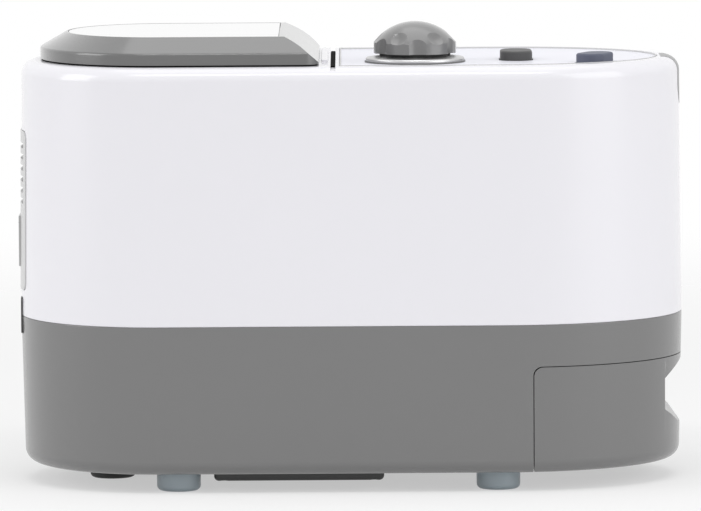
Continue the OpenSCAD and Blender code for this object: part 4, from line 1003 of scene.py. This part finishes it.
wear(upper_case(), case_white)
wear(case_ledge(), case_white)
wear(groove_seal(), seal_and_shade_black)
for piece in lower_case():
    wear(piece, case_grey)
wear(nose_cap(), case_grey)
wear(air_sockets(), socket_dark)
wear(rear_cover(), cover_grey)
wear(display_housing(), display_grey)
wear(housing_shade_line(), seal_and_shade_black)
wear(display_window(), window_painted_reflection)
wear(panel_film(), film_pale)
wear(panel_frame(), frame_grey)
wear(push_button("start_cap", "start_button", START_SIZE, START, 0), button_grey, "start")
wear(push_button("mode_cap", "mode_button", MODE_SIZE, MODE, MODE_TURN), button_blue,
     "mode")
wear(grip_knob(), knob_grey, "knob")
wear(knob_hub(), rubber_and_shade_black, "knob")
ring_seat, silver_ring = knob_ring()
wear(ring_seat, module_and_shade_dark)
wear(silver_ring, silver)
wear(label_strip(), strip_grey)
wear(power_switch(), switch_pale)
wear(rocker(), switch_pale, "rocker")
wear(power_socket(), socket_dark)
soft_feet, rear_stand = feet()
wear(soft_feet, foot_clear)
# the rear stand's dark colour is painted shade
wear(rear_stand, foot_painted_shade)
wear(bottom_pan(), pan_dark)

for node, material in NODE_FINISHES.items():
    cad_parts[node].data.materials.clear()
    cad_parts[node].data.materials.append(material)


# ---------- studio ----------

FLOOR_R = 2.4
FLOOR_WHITE = 0.88
FADE = (0.35, 1.2)                   # where the floor starts and ends to fade, from the middle
AMBIENT = 0.5                        # the sky's light on the object
SEEN = 1.0                           # the sky as the camera and mirrors see it
SENSOR = 36


def seen_rays(nodes, links):
    """Light Path's camera, glossy and transmission rays as one value."""
    path = nodes.new("ShaderNodeLightPath")
    total = path.outputs["Is Camera Ray"]
    for ray in ("Is Glossy Ray", "Is Transmission Ray"):
        either = nodes.new("ShaderNodeMath")
        either.operation = "MAXIMUM"
        links.new(total, either.inputs[0])
        links.new(path.outputs[ray], either.inputs[1])
        total = either.outputs["Value"]
    return total


def mixed(nodes, links, factor, first, second):
    """Mix of two shaders by a factor that is a value or a socket."""
    mix = nodes.new("ShaderNodeMixShader")
    if isinstance(factor, float):
        mix.inputs["Fac"].default_value = factor
    else:
        links.new(factor, mix.inputs["Fac"])
    links.new(first, mix.inputs[1])
    links.new(second, mix.inputs[2])
    return mix.outputs["Shader"]


def floor():
    """Pale floor with the object's shadow that fades to the white surroundings."""
    clear()
    bpy.ops.mesh.primitive_circle_add(vertices=96, radius=FLOOR_R, fill_type="NGON")
    ground = added("floor")
    material = bpy.data.materials.new("floor_white")
    material.use_nodes = True
    nodes, links = material.node_tree.nodes, material.node_tree.links
    shader = nodes["Principled BSDF"]
    shader.inputs["Base Color"].default_value = (FLOOR_WHITE, FLOOR_WHITE, FLOOR_WHITE, 1)
    shader.inputs["Roughness"].default_value = 0.9
    shader.inputs["Specular IOR Level"].default_value = 0.1
    white = nodes.new("ShaderNodeEmission")
    pale = mixed(nodes, links, 0.5, shader.outputs["BSDF"], white.outputs["Emission"])
    lit = mixed(nodes, links, seen_rays(nodes, links), shader.outputs["BSDF"], pale)
    place = nodes.new("ShaderNodeTexCoord")
    reach = nodes.new("ShaderNodeVectorMath")
    reach.operation = "LENGTH"
    links.new(place.outputs["Object"], reach.inputs[0])
    fade = nodes.new("ShaderNodeMapRange")
    fade.interpolation_type = "SMOOTHSTEP"
    fade.inputs["From Min"].default_value = FADE[0]
    fade.inputs["From Max"].default_value = FADE[1]
    links.new(reach.outputs["Value"], fade.inputs["Value"])
    edge = nodes.new("ShaderNodeBsdfTransparent")
    links.new(mixed(nodes, links, fade.outputs["Result"], lit, edge.outputs["BSDF"]),
              nodes["Material Output"].inputs["Surface"])
    ground.data.materials.append(material)


def lamp(name, place, length, width, power, aim=(0, 0, 0.09)):
    """Soft lamp that faces the object."""
    light = bpy.data.lights.new(name, "AREA")
    light.shape = "RECTANGLE"
    light.size = length
    light.size_y = width
    light.energy = power
    holder = bpy.data.objects.new(name, light)
    holder.location = place
    holder.rotation_euler = (Vector(aim) - Vector(place)).to_track_quat("-Z", "Y").to_euler()
    bpy.context.scene.collection.objects.link(holder)


def sky():
    """White surroundings for the camera and for what mirrors them, and a plain level of light."""
    world = bpy.data.worlds.new("studio")
    bpy.context.scene.world = world
    world.use_nodes = True
    nodes, links = world.node_tree.nodes, world.node_tree.links
    background = nodes["Background"]
    background.inputs["Color"].default_value = (1, 1, 1, 1)
    strength = nodes.new("ShaderNodeMapRange")
    strength.inputs["To Min"].default_value = AMBIENT
    strength.inputs["To Max"].default_value = SEEN
    links.new(seen_rays(nodes, links), strength.inputs["Value"])
    links.new(strength.outputs["Result"], background.inputs["Strength"])


CAMERA_AT = Vector((-0.0003, -3.125, 0.3857))
CAMERA_PITCH = radians(90 - 5.368)
CAMERA_ROLL = radians(-0.37)
FOCAL_PIXELS = 7534
PHOTO_WIDTH = 701


def camera():
    """Long lens at the photograph's place."""
    data = bpy.data.cameras.new("camera")
    data.sensor_width = SENSOR
    data.lens = FOCAL_PIXELS/PHOTO_WIDTH*SENSOR
    data.clip_end = 30
    holder = bpy.data.objects.new("camera", data)
    holder.location = CAMERA_AT
    turn = Matrix.Rotation(CAMERA_PITCH, 3, "X") @ Matrix.Rotation(CAMERA_ROLL, 3, "Z")
    holder.rotation_euler = turn.to_euler()
    bpy.context.scene.collection.objects.link(holder)
    bpy.context.scene.camera = holder


floor()
sky()
lamp("right", (2.0, -1.2, 0.9), 1.6, 1.8, 18.5)
lamp("left", (-2.2, -0.4, 0.9), 1.2, 1.6, 17.5)
lamp("top", (0.1, 0.3, 2.2), 1.8, 1.8, 8.5)
lamp("strip", (0, -1.1, 1.9), 1.6, 0.2, 11)
camera()
bpy.context.scene.view_settings.view_transform = "Standard"
